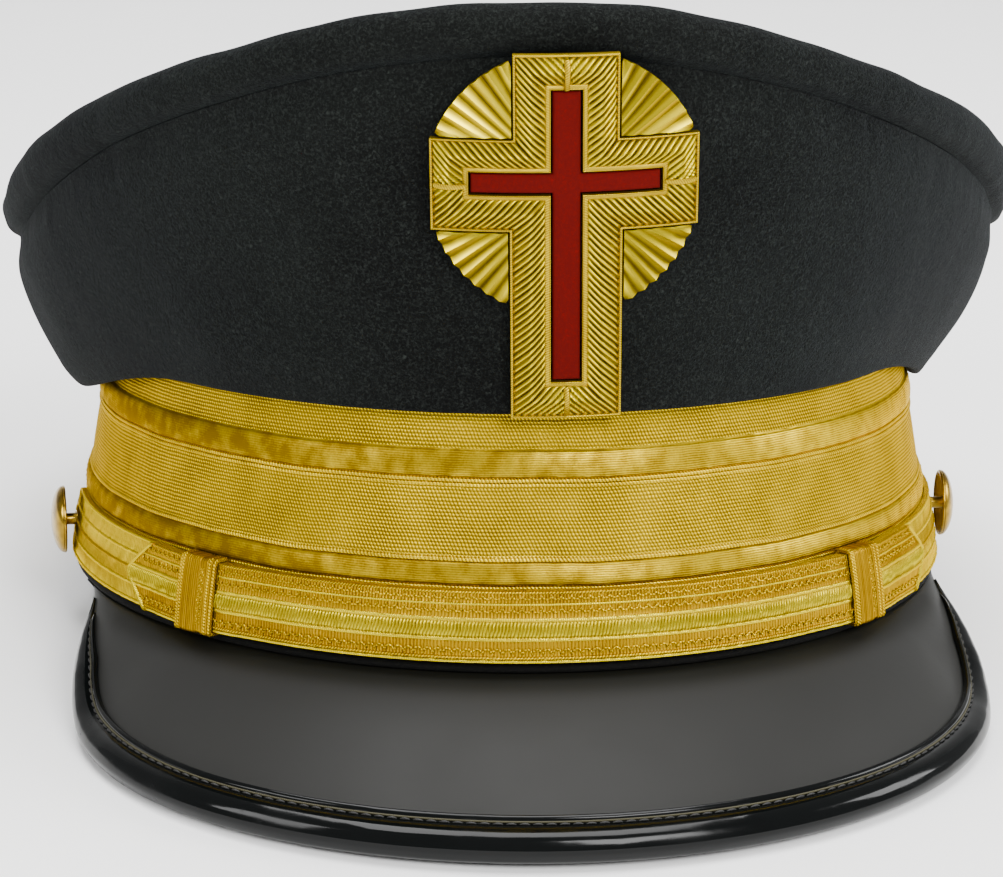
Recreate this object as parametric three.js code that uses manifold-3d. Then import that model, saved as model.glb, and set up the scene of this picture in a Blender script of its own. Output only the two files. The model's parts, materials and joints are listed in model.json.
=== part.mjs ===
// A peaked fatigue cap: a black cloth crown over a tall tapered band of gold lace, a gold chin
// strap on two side buttons, a bound patent leather peak and a rayed Latin cross on the front.
// Millimetres, +Z up, front towards -Y. The cap lies as it lies on a table, on the rim of its
// peak and on the back of its band, with the lowest point at z = 0.
import * as THREE from "three";
import { mergeVertices } from "three/addons/utils/BufferGeometryUtils.js";
import Module from "manifold-3d";

const wasm = await Module();
wasm.setup();
const { degToRad, lerp, smoothstep } = THREE.MathUtils;

// Clearance between pieces that lie on each other
const CLEAR = 0.3;
// Steps round the head, along the peak and along the straps
const ROUND_STEPS = 60;
const PEAK_STEPS = 40;
const UNDER_STRAP_STEPS = 40;
const FRONT_STRAP_STEPS = 30;

// Band: the gold lace and the black body that it is wound on
const BAND_HALF_WIDTH = 89.5;
const BAND_HALF_LENGTH = 102;
const BAND_TAPER = 7.5;
const LACE_HEIGHT = 44.5;
const LACE_THICKNESS = 1.8;
const LACE_RELIEF = 0.9;
const BODY_WALL = 2.4;
const LIP_HEIGHT = 1.6;

// Crown: the sewn side wall, the rolled rim and the top panel
const CLOTH = 2;
const RIM_HALF_WIDTH = 103.4;
const RIM_FRONT_LENGTH = 112;
const RIM_BACK_LENGTH = 117;
const RIM_SIDE_HEIGHT = 75;
const RIM_FRONT_RISE = 42.3;
const RIM_BACK_DROP = 8;
const RIM_LEAN = 1.7;
const SWEEP_POWER = 1.4;
const SWEEP_SOFTNESS = 0.1;
const STIFF_ANGLE = degToRad(50);
const RIM_ROLL_HEIGHT = 9.5;
const RIM_ROLL_DEPTH = 6;
const TOP_DOME = 2.5;
const FRONT_SAG = 0.6;
const SIDE_SAG = 10.2;
const BACK_SAG = 6;
const FRONT_ROLL = 2.4;
const LEFT_ROLL = 6.4;
const RIGHT_ROLL = 4.2;

// Peak and its bound edge
const PEAK_REACH = 29;
const PEAK_DROP = 23.6;
const PEAK_END_REACH = 0.8;
const PEAK_FULLNESS = 5;
const PEAK_ROUNDING = 2.5;
const PEAK_LIFT_START = 0.66;
const PEAK_END_ANGLE = degToRad(75);
const PEAK_TUCK = 3;
const PEAK_BOW = 2.6;
const PEAK_BOARD = 2.2;
const PEAK_ARCH = 0.7;
const BINDING_WALL = 1;
const BINDING_CLEAR = 0.45;
const BINDING_FLAP = 6.5;
const BEAD_HEIGHT = 1;
const BEAD_WIDTH = 1.8;

// Chin strap, its two keepers and its two side buttons
const STRAP_WIDTH = 12.7;
const STRAP_THICKNESS = 1;
const STRAP_RIDGE = 0.6;
const STRAP_HEIGHT = CLEAR + STRAP_WIDTH / 2;
const KEEPER_LEFT_ANGLE = degToRad(-44);
const KEEPER_RIGHT_ANGLE = degToRad(41);
const KEEPER_WIDTH = 8.4;
const KEEPER_WALL = 1;
const LEFT_TAB_LENGTH = 19;
const RIGHT_TAB_LENGTH = 25;
const TIP_SHARE = 0.08;
const BUTTON_ANGLE = degToRad(84);
const BUTTON_RADIUS = 7.2;
const BUTTON_DOME = 3;
const BUTTON_STAND_OFF = 1.8;
const SHANK_RADIUS = 1.5;

// Badge: a long cross with a red inlay and a fan of rays in each corner
const BADGE_HEIGHT = 66.4;
const BADGE_WIDTH = 46.4;
const ARM_WIDTH = 19.4;
const UPPER_ARM_WIDTH = 18.1;
const CROSSBAR_HEIGHT = 16.6;
const CROSSBAR_TOP = 15;
const BADGE_SIDE_STEP = 0.3;
const BADGE_ROLL = degToRad(1.3);
const BADGE_LIFT = -0.3;
const BADGE_STAND_OFF = 0.5;
const FRAME_DEPTH = 2.4;
const FRAME_BEVEL = 0.7;
const INLAY_WIDTH = 4.8;
const INLAY_BAR_HEIGHT = 3.5;
const INLAY_MARGIN = 6.9;
const INLAY_DEPTH = 1.3;
const RAY_RADIUS = 24.1;
const RAYS_PER_FAN = 7;
const RAY_DEPTH = 1.2;
const RAY_GROOVE = 0.5;

// The lace from its lower edge up: height as a share of LACE_HEIGHT, relief of LACE_RELIEF
const LACE_ROWS = [
  { up: 0, relief: 0.5 },
  { up: 0.275, relief: 0.5 },
  { up: 0.295, relief: 1 },
  { up: 0.385, relief: 1 },
  { up: 0.405, relief: 0.5 },
  { up: 0.685, relief: 0.5 },
  { up: 0.72, relief: 1 },
  { up: 0.825, relief: 1 },
  { up: 0.84, relief: 0.5 },
  { up: 1, relief: 0.5 },
];

// The cloth where it hangs over the band: outwards as a share of the roll, down of the sag
const ROLL_ROWS = [
  { out: 0.3, down: 0.3 },
  { out: 0.55, down: 0.8 },
  { out: 0.9, down: 1 },
];

// The side wall from the roll to the seam: up as a share of its height, out of its overhang,
// at the stiffened front and at the softer left and right sides
const WALL_ROWS = [
  { up: 0.06, front: 0.19, left: 0.43, right: 0.28 },
  { up: 0.2, front: 0.315, left: 0.57, right: 0.44 },
  { up: 0.4, front: 0.485, left: 0.73, right: 0.67 },
  { up: 0.6, front: 0.66, left: 0.85, right: 0.83 },
  { up: 0.8, front: 0.83, left: 0.94, right: 0.93 },
  { up: 1, front: 1, left: 1, right: 1 },
];

// The rolled rim from the seam to the top panel: inwards as a share of the roll's depth,
// up as a share of its height
const RIM_ROWS = [
  { inward: 0.36, up: 0 },
  { inward: 0.08, up: 0.14 },
  { inward: 0, up: 0.42 },
  { inward: 0.05, up: 0.72 },
  { inward: 0.24, up: 0.93 },
  { inward: 0.66, up: 1.02 },
];

// Rows across a flat strap and across one with a raised middle rib: the height as a share of
// half the strap's width, and the relief
const FLAT_ROWS = [
  { across: -1, relief: 0 },
  { across: 1, relief: 0 },
];
const RIDGE_ROWS = [
  { across: -1, relief: 0 },
  { across: -0.35, relief: 0.75 * STRAP_RIDGE },
  { across: 0, relief: STRAP_RIDGE },
  { across: 0.35, relief: 0.75 * STRAP_RIDGE },
  { across: 1, relief: 0 },
];

// Rings of the top panel, as shares of the way from its middle to the rolled rim
const TOP_RINGS = [0.84, 0.6, 0.32];

// A closed surface through sections that hold the same number of points. With round, the last
// section joins the first. With poles, each end closes on a point. Otherwise each end closes
// between the points of its section that face each other.
function skin(sections, { round = false, poles = null } = {}) {
  const count = sections[0].length;
  const points = sections.flat();
  const index = [];
  const quad = (a, b, c, d) => index.push(a, b, c, a, c, d);
  const joins = round ? sections.length : sections.length - 1;
  for (let i = 0; i < joins; i++) {
    const here = i * count;
    const next = ((i + 1) % sections.length) * count;
    for (let k = 0; k < count; k++) {
      const after = (k + 1) % count;
      quad(here + k, next + k, next + after, here + after);
    }
  }
  const end = (sections.length - 1) * count;
  if (poles) {
    const first = points.push(poles[0]) - 1;
    const last = points.push(poles[1]) - 1;
    for (let k = 0; k < count; k++) {
      const after = (k + 1) % count;
      index.push(first, k, after, last, end + after, end + k);
    }
  } else if (!round) {
    for (let k = 0; k < count / 2 - 1; k++) {
      const facing = [k, k + 1, count - 2 - k, count - 1 - k];
      quad(...facing);
      quad(...facing.map((corner) => end + corner).reverse());
    }
  }
  let volume = 0;
  for (let i = 0; i < index.length; i += 3) {
    const [a, b, c] = index.slice(i, i + 3).map((corner) => points[corner]);
    volume += a.dot(b.clone().cross(c));
  }
  if (volume < 0) index.reverse();
  return new THREE.BufferGeometry().setFromPoints(points).setIndex(index);
}

// Angles round the whole head
function roundAngles() {
  return Array.from({ length: ROUND_STEPS }, (_, i) => (i / ROUND_STEPS) * 2 * Math.PI);
}

// Evenly spaced angles from one to another, both included
function angleRun(from, to, steps) {
  return Array.from({ length: steps + 1 }, (_, i) => lerp(from, to, i / steps));
}

// A point at an angle round the head, 0 at the front and positive towards +X, on an oval of a
// half width and a half length, moved outwards along the oval's own normal
function ovalPoint(angle, halfWidth, halfLength, out, z) {
  const x = Math.sin(angle);
  const y = -Math.cos(angle);
  const normal = new THREE.Vector2(x / halfWidth, y / halfLength).normalize();
  return new THREE.Vector3(halfWidth * x + normal.x * out, halfLength * y + normal.y * out, z);
}

// A point on the lace's outer face, which draws in towards its top, moved outwards by out
function bandPoint(angle, out, z) {
  const drawnIn = (BAND_TAPER * z) / LACE_HEIGHT;
  return ovalPoint(angle, BAND_HALF_WIDTH - drawnIn, BAND_HALF_LENGTH - drawnIn, out, z);
}

// How many millimetres of the band's outline one radian covers at an angle
function bandRadius(angle) {
  return Math.hypot(BAND_HALF_WIDTH * Math.cos(angle), BAND_HALF_LENGTH * Math.sin(angle));
}

// 0 round the stiffened front of the crown, 1 from the sides round the back
function softness(angle) {
  return smoothstep(-Math.cos(angle), -Math.cos(STIFF_ANGLE), 0);
}

// 0 on the right side of the cap and 1 on its left
function leftness(angle) {
  return (1 - Math.sin(angle)) / 2;
}

// Grows from 0 to 1 with a share, gently at first and then nearly straight
function sweep(share) {
  const grown = (value) => Math.hypot(value, SWEEP_SOFTNESS) ** SWEEP_POWER;
  return (grown(share) - grown(0)) / (grown(1) - grown(0));
}

// Height of the top panel over a place: the front rises like a saddle, a little more to its left
function topHeight(x, y) {
  const forward = -y / RIM_FRONT_LENGTH;
  const lean = (-2 * RIM_LEAN * x) / RIM_HALF_WIDTH;
  if (y < 0) return RIM_SIDE_HEIGHT + RIM_FRONT_RISE * sweep(forward) + lean * forward;
  return RIM_SIDE_HEIGHT - RIM_BACK_DROP * sweep(y / RIM_BACK_LENGTH);
}

// The outermost line of the rim, as distance from the cap's middle and the way there
function rimLine(angle) {
  const length = Math.cos(angle) > 0 ? RIM_FRONT_LENGTH : RIM_BACK_LENGTH;
  const plan = new THREE.Vector2(RIM_HALF_WIDTH * Math.sin(angle), -length * Math.cos(angle));
  return { reach: plan.length(), way: plan.clone().normalize(), top: topHeight(plan.x, plan.y) };
}

// The seam between the side wall and the rolled rim
function seamAt(angle) {
  const rim = rimLine(angle);
  const plan = rim.way.clone().multiplyScalar(rim.reach - RIM_ROWS[0].inward * RIM_ROLL_DEPTH);
  return { plan, z: rim.top - RIM_ROLL_HEIGHT };
}

// Unit normal to the left of each point of a line of 2D points, which are its way along
function leftNormals(line) {
  return line.map((_, i) => {
    const before = line[Math.max(0, i - 1)];
    const after = line[Math.min(line.length - 1, i + 1)];
    const way = after.clone().sub(before).normalize();
    return new THREE.Vector2(-way.y, way.x);
  });
}

// The outline of a wall whose face is a line of 2D points, with its thickness to the left.
// Level ends are cut flat, so that a wall meets its neighbour square.
function thicken(line, wall, { levelStart = false, levelEnd = false } = {}) {
  const normals = leftNormals(line);
  if (levelStart) normals[0].set(-1, 0);
  if (levelEnd) normals[normals.length - 1].set(-1, 0);
  const back = line.map((point, i) => point.clone().addScaledVector(normals[i], wall));
  return [...line, ...back.reverse()];
}

// The face of the crown's side wall at an angle, as distance out from the band and height
function wallFace(angle) {
  const base = bandPoint(angle, 0, LACE_HEIGHT);
  const seam = seamAt(angle);
  const overhang = seam.plan.distanceTo(new THREE.Vector2(base.x, base.y));
  const softSag = lerp(SIDE_SAG, BACK_SAG, Math.max(0, -Math.cos(angle)));
  const sag = lerp(FRONT_SAG, softSag, softness(angle));
  const softRoll = lerp(RIGHT_ROLL, LEFT_ROLL, leftness(angle));
  const roll = lerp(FRONT_ROLL, softRoll, softness(angle));
  const seat = LACE_HEIGHT + CLEAR;
  const low = seat - sag;
  const high = seam.z - CLEAR / 2;
  const face = [new THREE.Vector2(-LACE_THICKNESS - BODY_WALL, seat), new THREE.Vector2(CLEAR, seat)];
  for (const { out, down } of ROLL_ROWS)
    face.push(new THREE.Vector2(CLEAR + out * roll, seat - down * sag));
  for (const { up, front, left, right } of WALL_ROWS) {
    const out = lerp(front, lerp(right, left, leftness(angle)), softness(angle));
    face.push(new THREE.Vector2(overhang * out, lerp(low, high, up)));
  }
  return { base, seam, face };
}

// Places a 2D outline of out and height in the upright plane from the band to the seam
function placeWall(angle, outline) {
  const { base, seam } = wallFace(angle);
  const way = seam.plan.clone().sub(new THREE.Vector2(base.x, base.y)).normalize();
  return outline.map((p) => new THREE.Vector3(base.x + way.x * p.x, base.y + way.y * p.x, p.y));
}

function crownSide() {
  const sections = roundAngles().map((angle) =>
    placeWall(angle, thicken(wallFace(angle).face, CLOTH, { levelEnd: true })),
  );
  return skin(sections, { round: true });
}

// The rolled rim and the top panel, as a face line from the seam to near the middle
function topFace(angle) {
  const rim = rimLine(angle);
  const face = RIM_ROWS.map(({ inward, up }) => {
    const height = rim.top - RIM_ROLL_HEIGHT * (1 - up) + (up === 0 ? CLEAR / 2 : 0);
    return new THREE.Vector2(rim.reach - inward * RIM_ROLL_DEPTH, height);
  });
  const panel = rim.reach - RIM_ROLL_DEPTH;
  for (const share of TOP_RINGS) {
    const reach = panel * share;
    const z = topHeight(rim.way.x * reach, rim.way.y * reach) + TOP_DOME * (1 - share ** 2);
    face.push(new THREE.Vector2(reach, z));
  }
  return { rim, face };
}

function crownTop() {
  const profiles = roundAngles().map((angle) => {
    const { rim, face } = topFace(angle);
    const outline = thicken(face, CLOTH, { levelStart: true });
    return outline.map((p) => new THREE.Vector3(rim.way.x * p.x, rim.way.y * p.x, p.y));
  });
  const count = profiles[0].length / 2;
  const middle = new THREE.Vector3(0, 0, topHeight(0, 0) + TOP_DOME);
  const order = [
    ...Array.from({ length: count }, (_, i) => count - 1 - i),
    ...Array.from({ length: count }, (_, i) => 2 * count - 1 - i),
  ];
  const rings = order.map((k) => profiles.map((profile) => profile[k]));
  return skin(rings, { poles: [middle, middle.clone().setZ(middle.z - CLOTH)] });
}

function laceBand() {
  const sections = roundAngles().map((angle) => {
    const face = LACE_ROWS.map(({ up, relief }) =>
      bandPoint(angle, -LACE_RELIEF * (1 - relief), up * LACE_HEIGHT),
    );
    return [
      ...face,
      bandPoint(angle, -LACE_THICKNESS, LACE_HEIGHT),
      bandPoint(angle, -LACE_THICKNESS, 0),
    ];
  });
  return skin(sections, { round: true });
}

// The black body inside the lace, with a lip below that the lace stands on
function bandBody() {
  const face = -LACE_THICKNESS - CLEAR;
  const sections = roundAngles().map((angle) => [
    bandPoint(angle, face - BODY_WALL, LACE_HEIGHT),
    bandPoint(angle, face, LACE_HEIGHT),
    bandPoint(angle, face, -CLEAR),
    bandPoint(angle, 0, -CLEAR),
    bandPoint(angle, 0, -CLEAR - LIP_HEIGHT),
    bandPoint(angle, face - BODY_WALL, -CLEAR - LIP_HEIGHT),
  ]);
  return skin(sections, { round: true });
}

// The lowest plane of the band, on which the cap's back lies
const SOLE = -CLEAR - LIP_HEIGHT;

// Places along the peak from -1 to 1, closer together towards its ends, where it turns most
const PEAK_PLACES = angleRun(-Math.PI / 2, Math.PI / 2, PEAK_STEPS).map(Math.sin);

// How far the peak stands out from the band, t from -1 to 1 from end to end
function peakReach(t) {
  const share = (1 - Math.abs(t) ** PEAK_FULLNESS) ** PEAK_ROUNDING;
  return lerp(PEAK_END_REACH, PEAK_REACH, share);
}

// The upper outer edge of the peak, which lies on a slanting plane through the band's back
function peakEdge(t) {
  const angle = t * PEAK_END_ANGLE;
  const edge = ovalPoint(angle, BAND_HALF_WIDTH, BAND_HALF_LENGTH, peakReach(t), 0);
  const fall = PEAK_DROP / (2 * BAND_HALF_LENGTH + PEAK_REACH);
  const down = fall * (BAND_HALF_LENGTH - edge.y) - PEAK_ARCH * (1 - t ** 2);
  edge.z = SOLE - CLEAR - down * (1 - smoothstep(Math.abs(t), PEAK_LIFT_START, 1));
  return edge;
}

// Length of the peak's straight margin, which the binding holds
function peakMargin(t) {
  return Math.min(BINDING_FLAP + 1, 0.8 * peakReach(t));
}

// A line across the peak's upper face, from under the band to the outer edge
function peakAcross(t) {
  const angle = t * PEAK_END_ANGLE;
  const tucked = ovalPoint(angle, BAND_HALF_WIDTH, BAND_HALF_LENGTH, -PEAK_TUCK, SOLE - CLEAR);
  const start = ovalPoint(angle, BAND_HALF_WIDTH, BAND_HALF_LENGTH, 0, SOLE - CLEAR);
  const edge = peakEdge(t);
  const length = start.distanceTo(edge);
  const margin = 1 - Math.min(0.8, peakMargin(t) / length);
  const across = [tucked];
  for (const share of [0, 0.3, 0.65, 1]) {
    const s = share * margin;
    const point = start.clone().lerp(edge, s);
    point.z += (PEAK_BOW * 4 * share * (1 - 0.5 * share) * (1 - s) * length) / (PEAK_REACH * 2);
    across.push(point);
  }
  across.push(edge);
  return across;
}

// The peak's upper face as a grid, with the way outwards, the way down through the board and the
// way square to the board's edge at each point. The straight margin keeps one slope, so that the
// binding lies parallel to it.
function peakGrid() {
  const rows = PEAK_PLACES.map((t) => peakAcross(t));
  return rows.map((row, i) => {
    const last = row.length - 1;
    return row.map((point, k) => {
      const along = rows[Math.min(PEAK_STEPS, i + 1)][k].clone();
      along.sub(rows[Math.max(0, i - 1)][k]).normalize();
      const before = k < last - 1 ? Math.max(0, k - 1) : last - 1;
      const outward = row[Math.min(last, k + 1)].clone().sub(row[before]).normalize();
      const down = outward.clone().cross(along).normalize();
      if (down.z > 0) down.negate();
      const square = along.cross(down).normalize();
      if (square.dot(outward) < 0) square.negate();
      return { point, outward, down, square };
    });
  });
}

function peakBoard(grid) {
  const sections = grid.map((row) => [
    ...row.map(({ point }) => point),
    ...row.map(({ point, down }) => point.clone().addScaledVector(down, PEAK_BOARD)).reverse(),
  ]);
  return skin(sections);
}

// The binding folded round the peak's edge, with a raised bead along its inner edge
function peakBinding(grid) {
  const inner = -BINDING_CLEAR;
  const outer = inner - BINDING_WALL;
  const under = PEAK_BOARD + BINDING_CLEAR;
  const fold = BINDING_CLEAR + BINDING_WALL;
  const sections = grid.map((row, i) => {
    const { point, outward, down, square } = row[row.length - 1];
    const flap = Math.min(BINDING_FLAP, 0.5 * peakReach(PEAK_PLACES[i]));
    const bead = Math.min(BEAD_WIDTH, flap / 3);
    const place = (out, below) =>
      point
        .clone()
        .addScaledVector(out > 0 ? square : outward, out)
        .addScaledVector(down, below);
    return [
      place(-flap, inner),
      place(-flap, outer - BEAD_HEIGHT * 0.7),
      place(-flap + bead / 2, outer - BEAD_HEIGHT),
      place(-flap + bead, outer - BEAD_HEIGHT * 0.5),
      place(-flap + bead * 1.3, outer),
      place(0, outer),
      place(fold, PEAK_BOARD * 0.1),
      place(fold, PEAK_BOARD * 0.9),
      place(0, under + BINDING_WALL),
      place(-flap, under + BINDING_WALL),
      place(-flap, under),
      place(BINDING_CLEAR, under),
      place(BINDING_CLEAR, inner),
      place(-flap * 0.5, inner),
    ];
  });
  return skin(sections);
}

// How far the straps are lifted off the lace so that a keeper's back passes under them
function keeperLift(angle) {
  const keeper = angle < 0 ? KEEPER_LEFT_ANGLE : KEEPER_RIGHT_ANGLE;
  const away = Math.abs(angle - keeper) * bandRadius(keeper);
  const held = KEEPER_WIDTH / 2 + 1;
  return (KEEPER_WALL + CLEAR) * (1 - smoothstep(away, held, held + KEEPER_WIDTH));
}

// Section of a strap at an angle: half its width, its distance from the lace, and across its
// face each row's height as a share of the half width and its relief
function strapSection(angle, half, out, rows) {
  const place = (across, proud) => bandPoint(angle, out + proud, STRAP_HEIGHT + across * half);
  const face = rows.map(({ across, relief }) => place(across, STRAP_THICKNESS + relief));
  const back = rows.map(({ across }) => place(across, 0));
  return [...face, ...back.reverse()];
}

// The under strap runs from button to button, ends round, and has a hole for each shank
function underStrap() {
  const half = STRAP_WIDTH / 2;
  const rounding = half / bandRadius(BUTTON_ANGLE);
  const closing = [0.98, 0.8, 0.55, 0.27];
  const end = closing.map((share) => ({
    angle: BUTTON_ANGLE + share * rounding,
    half: half * Math.sqrt(1 - share ** 2),
  }));
  const stations = [
    ...end.map((station) => ({ ...station, angle: -station.angle })),
    ...angleRun(-BUTTON_ANGLE, BUTTON_ANGLE, UNDER_STRAP_STEPS).map((angle) => ({ angle, half })),
    ...end.toReversed(),
  ];
  const strap = skin(
    stations.map((station) =>
      strapSection(station.angle, station.half, CLEAR + keeperLift(station.angle), FLAT_ROWS),
    ),
  );
  return cutAway(cutAway(strap, shankHole(-1)), shankHole(1));
}

// The front strap lies on the under strap and has a pointed tab past each keeper
function frontStrap() {
  const tab = (keeper, length) => (KEEPER_WIDTH / 2 + length) / bandRadius(keeper);
  const left = KEEPER_LEFT_ANGLE - tab(KEEPER_LEFT_ANGLE, LEFT_TAB_LENGTH);
  const right = KEEPER_RIGHT_ANGLE + tab(KEEPER_RIGHT_ANGLE, RIGHT_TAB_LENGTH);
  const point = STRAP_WIDTH / 2 / bandRadius(KEEPER_LEFT_ANGLE);
  const half = STRAP_WIDTH / 2;
  const stations = [
    { angle: left, half: half * TIP_SHARE },
    ...angleRun(left + point, right - point, FRONT_STRAP_STEPS).map((angle) => ({ angle, half })),
    { angle: right, half: half * TIP_SHARE },
  ];
  return skin(
    stations.map((station) => {
      const out = 2 * CLEAR + STRAP_THICKNESS + keeperLift(station.angle);
      return strapSection(station.angle, station.half, out, RIDGE_ROWS);
    }),
  );
}

// A keeper is a loop of lace round both straps, at an angle round the cap
function strapKeeper(middle) {
  const half = KEEPER_WIDTH / 2 / bandRadius(middle);
  const stack = KEEPER_WALL + 4 * CLEAR + 2 * STRAP_THICKNESS + STRAP_RIDGE;
  const foot = STRAP_HEIGHT - STRAP_WIDTH / 2 - CLEAR;
  const head = STRAP_HEIGHT + STRAP_WIDTH / 2 + CLEAR;
  const corner = CLEAR;
  const path = [
    { out: CLEAR + KEEPER_WALL, z: foot + corner, away: [-1, -0.3] },
    { out: CLEAR + KEEPER_WALL, z: head - corner, away: [-1, 0.3] },
    { out: CLEAR + KEEPER_WALL + corner, z: head, away: [-0.3, 1] },
    { out: stack - corner, z: head, away: [0.3, 1] },
    { out: stack, z: head - corner, away: [1, 0.3] },
    { out: stack, z: STRAP_HEIGHT, away: [1, 0] },
    { out: stack, z: foot + corner, away: [1, -0.3] },
    { out: stack - corner, z: foot, away: [0.3, -1] },
    { out: CLEAR + KEEPER_WALL + corner, z: foot, away: [-0.3, -1] },
  ];
  const sections = path.map(({ out, z, away }) => {
    const across = [-half, 0, half].map((turn) => middle + turn);
    const inside = across.map((angle) => bandPoint(angle, out, z));
    const outside = across.map((angle) =>
      bandPoint(angle, out + away[0] * KEEPER_WALL, z + away[1] * KEEPER_WALL),
    );
    return [...inside, ...outside.reverse()];
  });
  return skin(sections, { round: true });
}

// Where a side button stands on the lace, and the way that it points
function buttonSeat(side) {
  const foot = bandPoint(side * BUTTON_ANGLE, CLEAR, STRAP_HEIGHT);
  const way = bandPoint(side * BUTTON_ANGLE, CLEAR + 1, STRAP_HEIGHT).sub(foot).normalize();
  return { foot, turn: new THREE.Quaternion().setFromUnitVectors(new THREE.Vector3(0, 1, 0), way) };
}

// A cylinder through the strap where a shank passes
function shankHole(side) {
  const { foot, turn } = buttonSeat(side);
  const hole = new THREE.CylinderGeometry(SHANK_RADIUS + CLEAR, SHANK_RADIUS + CLEAR, 20, 12);
  return hole.applyQuaternion(turn).translate(foot.x, foot.y, foot.z);
}

// A domed button turned about its shank
function buttonShape() {
  const back = CLEAR + STRAP_THICKNESS + BUTTON_STAND_OFF;
  const profile = [
    [0, 0],
    [SHANK_RADIUS, 0],
    [SHANK_RADIUS, back],
    [0.8 * BUTTON_RADIUS, back],
    [BUTTON_RADIUS, back + 0.15 * BUTTON_DOME],
    [BUTTON_RADIUS, back + 0.32 * BUTTON_DOME],
    [0.86 * BUTTON_RADIUS, back + 0.62 * BUTTON_DOME],
    [0.58 * BUTTON_RADIUS, back + 0.87 * BUTTON_DOME],
    [0.28 * BUTTON_RADIUS, back + 0.98 * BUTTON_DOME],
    [0, back + BUTTON_DOME],
  ];
  return new THREE.LatheGeometry(
    profile.map(([radius, height]) => new THREE.Vector2(radius, height)),
    16,
  );
}

// One solid less another
function cutAway(geometry, tool) {
  const made = asManifold(geometry).subtract(asManifold(tool)).getMesh();
  return new THREE.BufferGeometry()
    .setAttribute("position", new THREE.BufferAttribute(made.vertProperties, 3))
    .setIndex(new THREE.BufferAttribute(made.triVerts, 1));
}

function asManifold(geometry) {
  const bare = geometry.clone().deleteAttribute("normal").deleteAttribute("uv");
  const merged = mergeVertices(bare, 1e-4);
  return new wasm.Manifold(
    new wasm.Mesh({
      numProp: 3,
      vertProperties: merged.attributes.position.array,
      triVerts: new Uint32Array(merged.index.array),
    }),
  );
}

// A Latin cross about the middle of its crossbar: the arm's width above and below the bar, the
// bar's height, and how far it reaches to each side, up and down
function crossOutline(upperWidth, lowerWidth, barHeight, side, up, down) {
  const upper = upperWidth / 2;
  const x = lowerWidth / 2;
  const y = barHeight / 2;
  return [
    [-upper, up],
    [-upper, y],
    [-side, y],
    [-side, -y],
    [-x, -y],
    [-x, -down],
    [x, -down],
    [x, -y],
    [side, -y],
    [side, y],
    [upper, y],
    [upper, up],
  ].map(([u, v]) => new THREE.Vector2(u, v));
}

const CROSS_SIDE = BADGE_WIDTH / 2;
const CROSS_UP = CROSSBAR_TOP + CROSSBAR_HEIGHT / 2;
const CROSS_DOWN = BADGE_HEIGHT - CROSS_UP;

function badgeFrame() {
  const shape = new THREE.Shape(
    crossOutline(
      UPPER_ARM_WIDTH, ARM_WIDTH, CROSSBAR_HEIGHT, CROSS_SIDE, CROSS_UP, CROSS_DOWN,
    ),
  );
  shape.holes.push(new THREE.Path(inlayOutline(CLEAR)));
  return new THREE.ExtrudeGeometry(shape, {
    depth: FRAME_DEPTH - 2 * FRAME_BEVEL,
    bevelThickness: FRAME_BEVEL,
    bevelSize: FRAME_BEVEL,
    bevelOffset: -FRAME_BEVEL,
    bevelSegments: 1,
  }).translate(0, 0, FRAME_BEVEL);
}

// The red cross inside the frame, grown by a margin
function inlayOutline(grow) {
  const width = INLAY_WIDTH + 2 * grow;
  return crossOutline(
    width,
    width,
    INLAY_BAR_HEIGHT + 2 * grow,
    CROSS_SIDE - INLAY_MARGIN + grow,
    CROSS_UP - INLAY_MARGIN + grow,
    CROSS_DOWN - INLAY_MARGIN + grow,
  );
}

function badgeInlay() {
  const shape = new THREE.Shape(inlayOutline(0));
  return new THREE.ExtrudeGeometry(shape, { depth: INLAY_DEPTH, bevelEnabled: false });
}

// The rays in one corner of the cross, right is 1 or -1 and so is up. Ridges and grooves take
// turns, and each runs from the frame to the round edge.
function rayFan(right, up) {
  const left = (up > 0 ? UPPER_ARM_WIDTH : ARM_WIDTH) / 2 + CLEAR;
  const low = CROSSBAR_HEIGHT / 2 + CLEAR;
  const first = Math.asin(low / (RAY_RADIUS - 1));
  const last = Math.acos(left / (RAY_RADIUS - 1));
  const sections = angleRun(first, last, 2 * RAYS_PER_FAN).map((angle, i) => {
    const from = Math.max(left / Math.cos(angle), low / Math.sin(angle));
    const crest = RAY_DEPTH - (i % 2 ? 0 : RAY_GROOVE);
    const side = Math.min(RAY_RADIUS, CROSS_SIDE / Math.cos(angle));
    const at = (reach, depth) =>
      new THREE.Vector3(right * reach * Math.cos(angle), up * reach * Math.sin(angle), depth);
    return [at(from, 0), at(side, 0), at(side, crest), at(from, crest)];
  });
  return skin(sections);
}

// Radius of the badge's bend, which is the rim's own at the front
const BADGE_BEND = RIM_HALF_WIDTH ** 2 / RIM_FRONT_LENGTH;

// Where the badge lies: it leans as the crown's front does and just clears its fullest place
function badgeSeat() {
  const face = placeWall(0, wallFace(0).face).slice(2);
  const foot = face[0];
  const head = face[face.length - 1];
  const lean = Math.atan2(foot.y - head.y, head.z - foot.z);
  const outward = new THREE.Vector3(0, -Math.cos(lean), -Math.sin(lean));
  const upward = new THREE.Vector3(0, -Math.sin(lean), Math.cos(lean));
  const proud = roundAngles().flatMap((angle) =>
    placeWall(angle, wallFace(angle).face)
      .slice(2)
      .filter((point) => point.y < 0 && Math.abs(point.x) < 0.7 * BADGE_WIDTH)
      .map((point) => point.clone().sub(foot).dot(outward) + point.x ** 2 / (2 * BADGE_BEND)),
  );
  const middle = foot.clone().addScaledVector(outward, Math.max(...proud) + BADGE_STAND_OFF);
  middle.addScaledVector(upward, BADGE_LIFT + CROSS_DOWN);
  middle.x = BADGE_SIDE_STEP;
  return { middle, lean };
}

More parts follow.
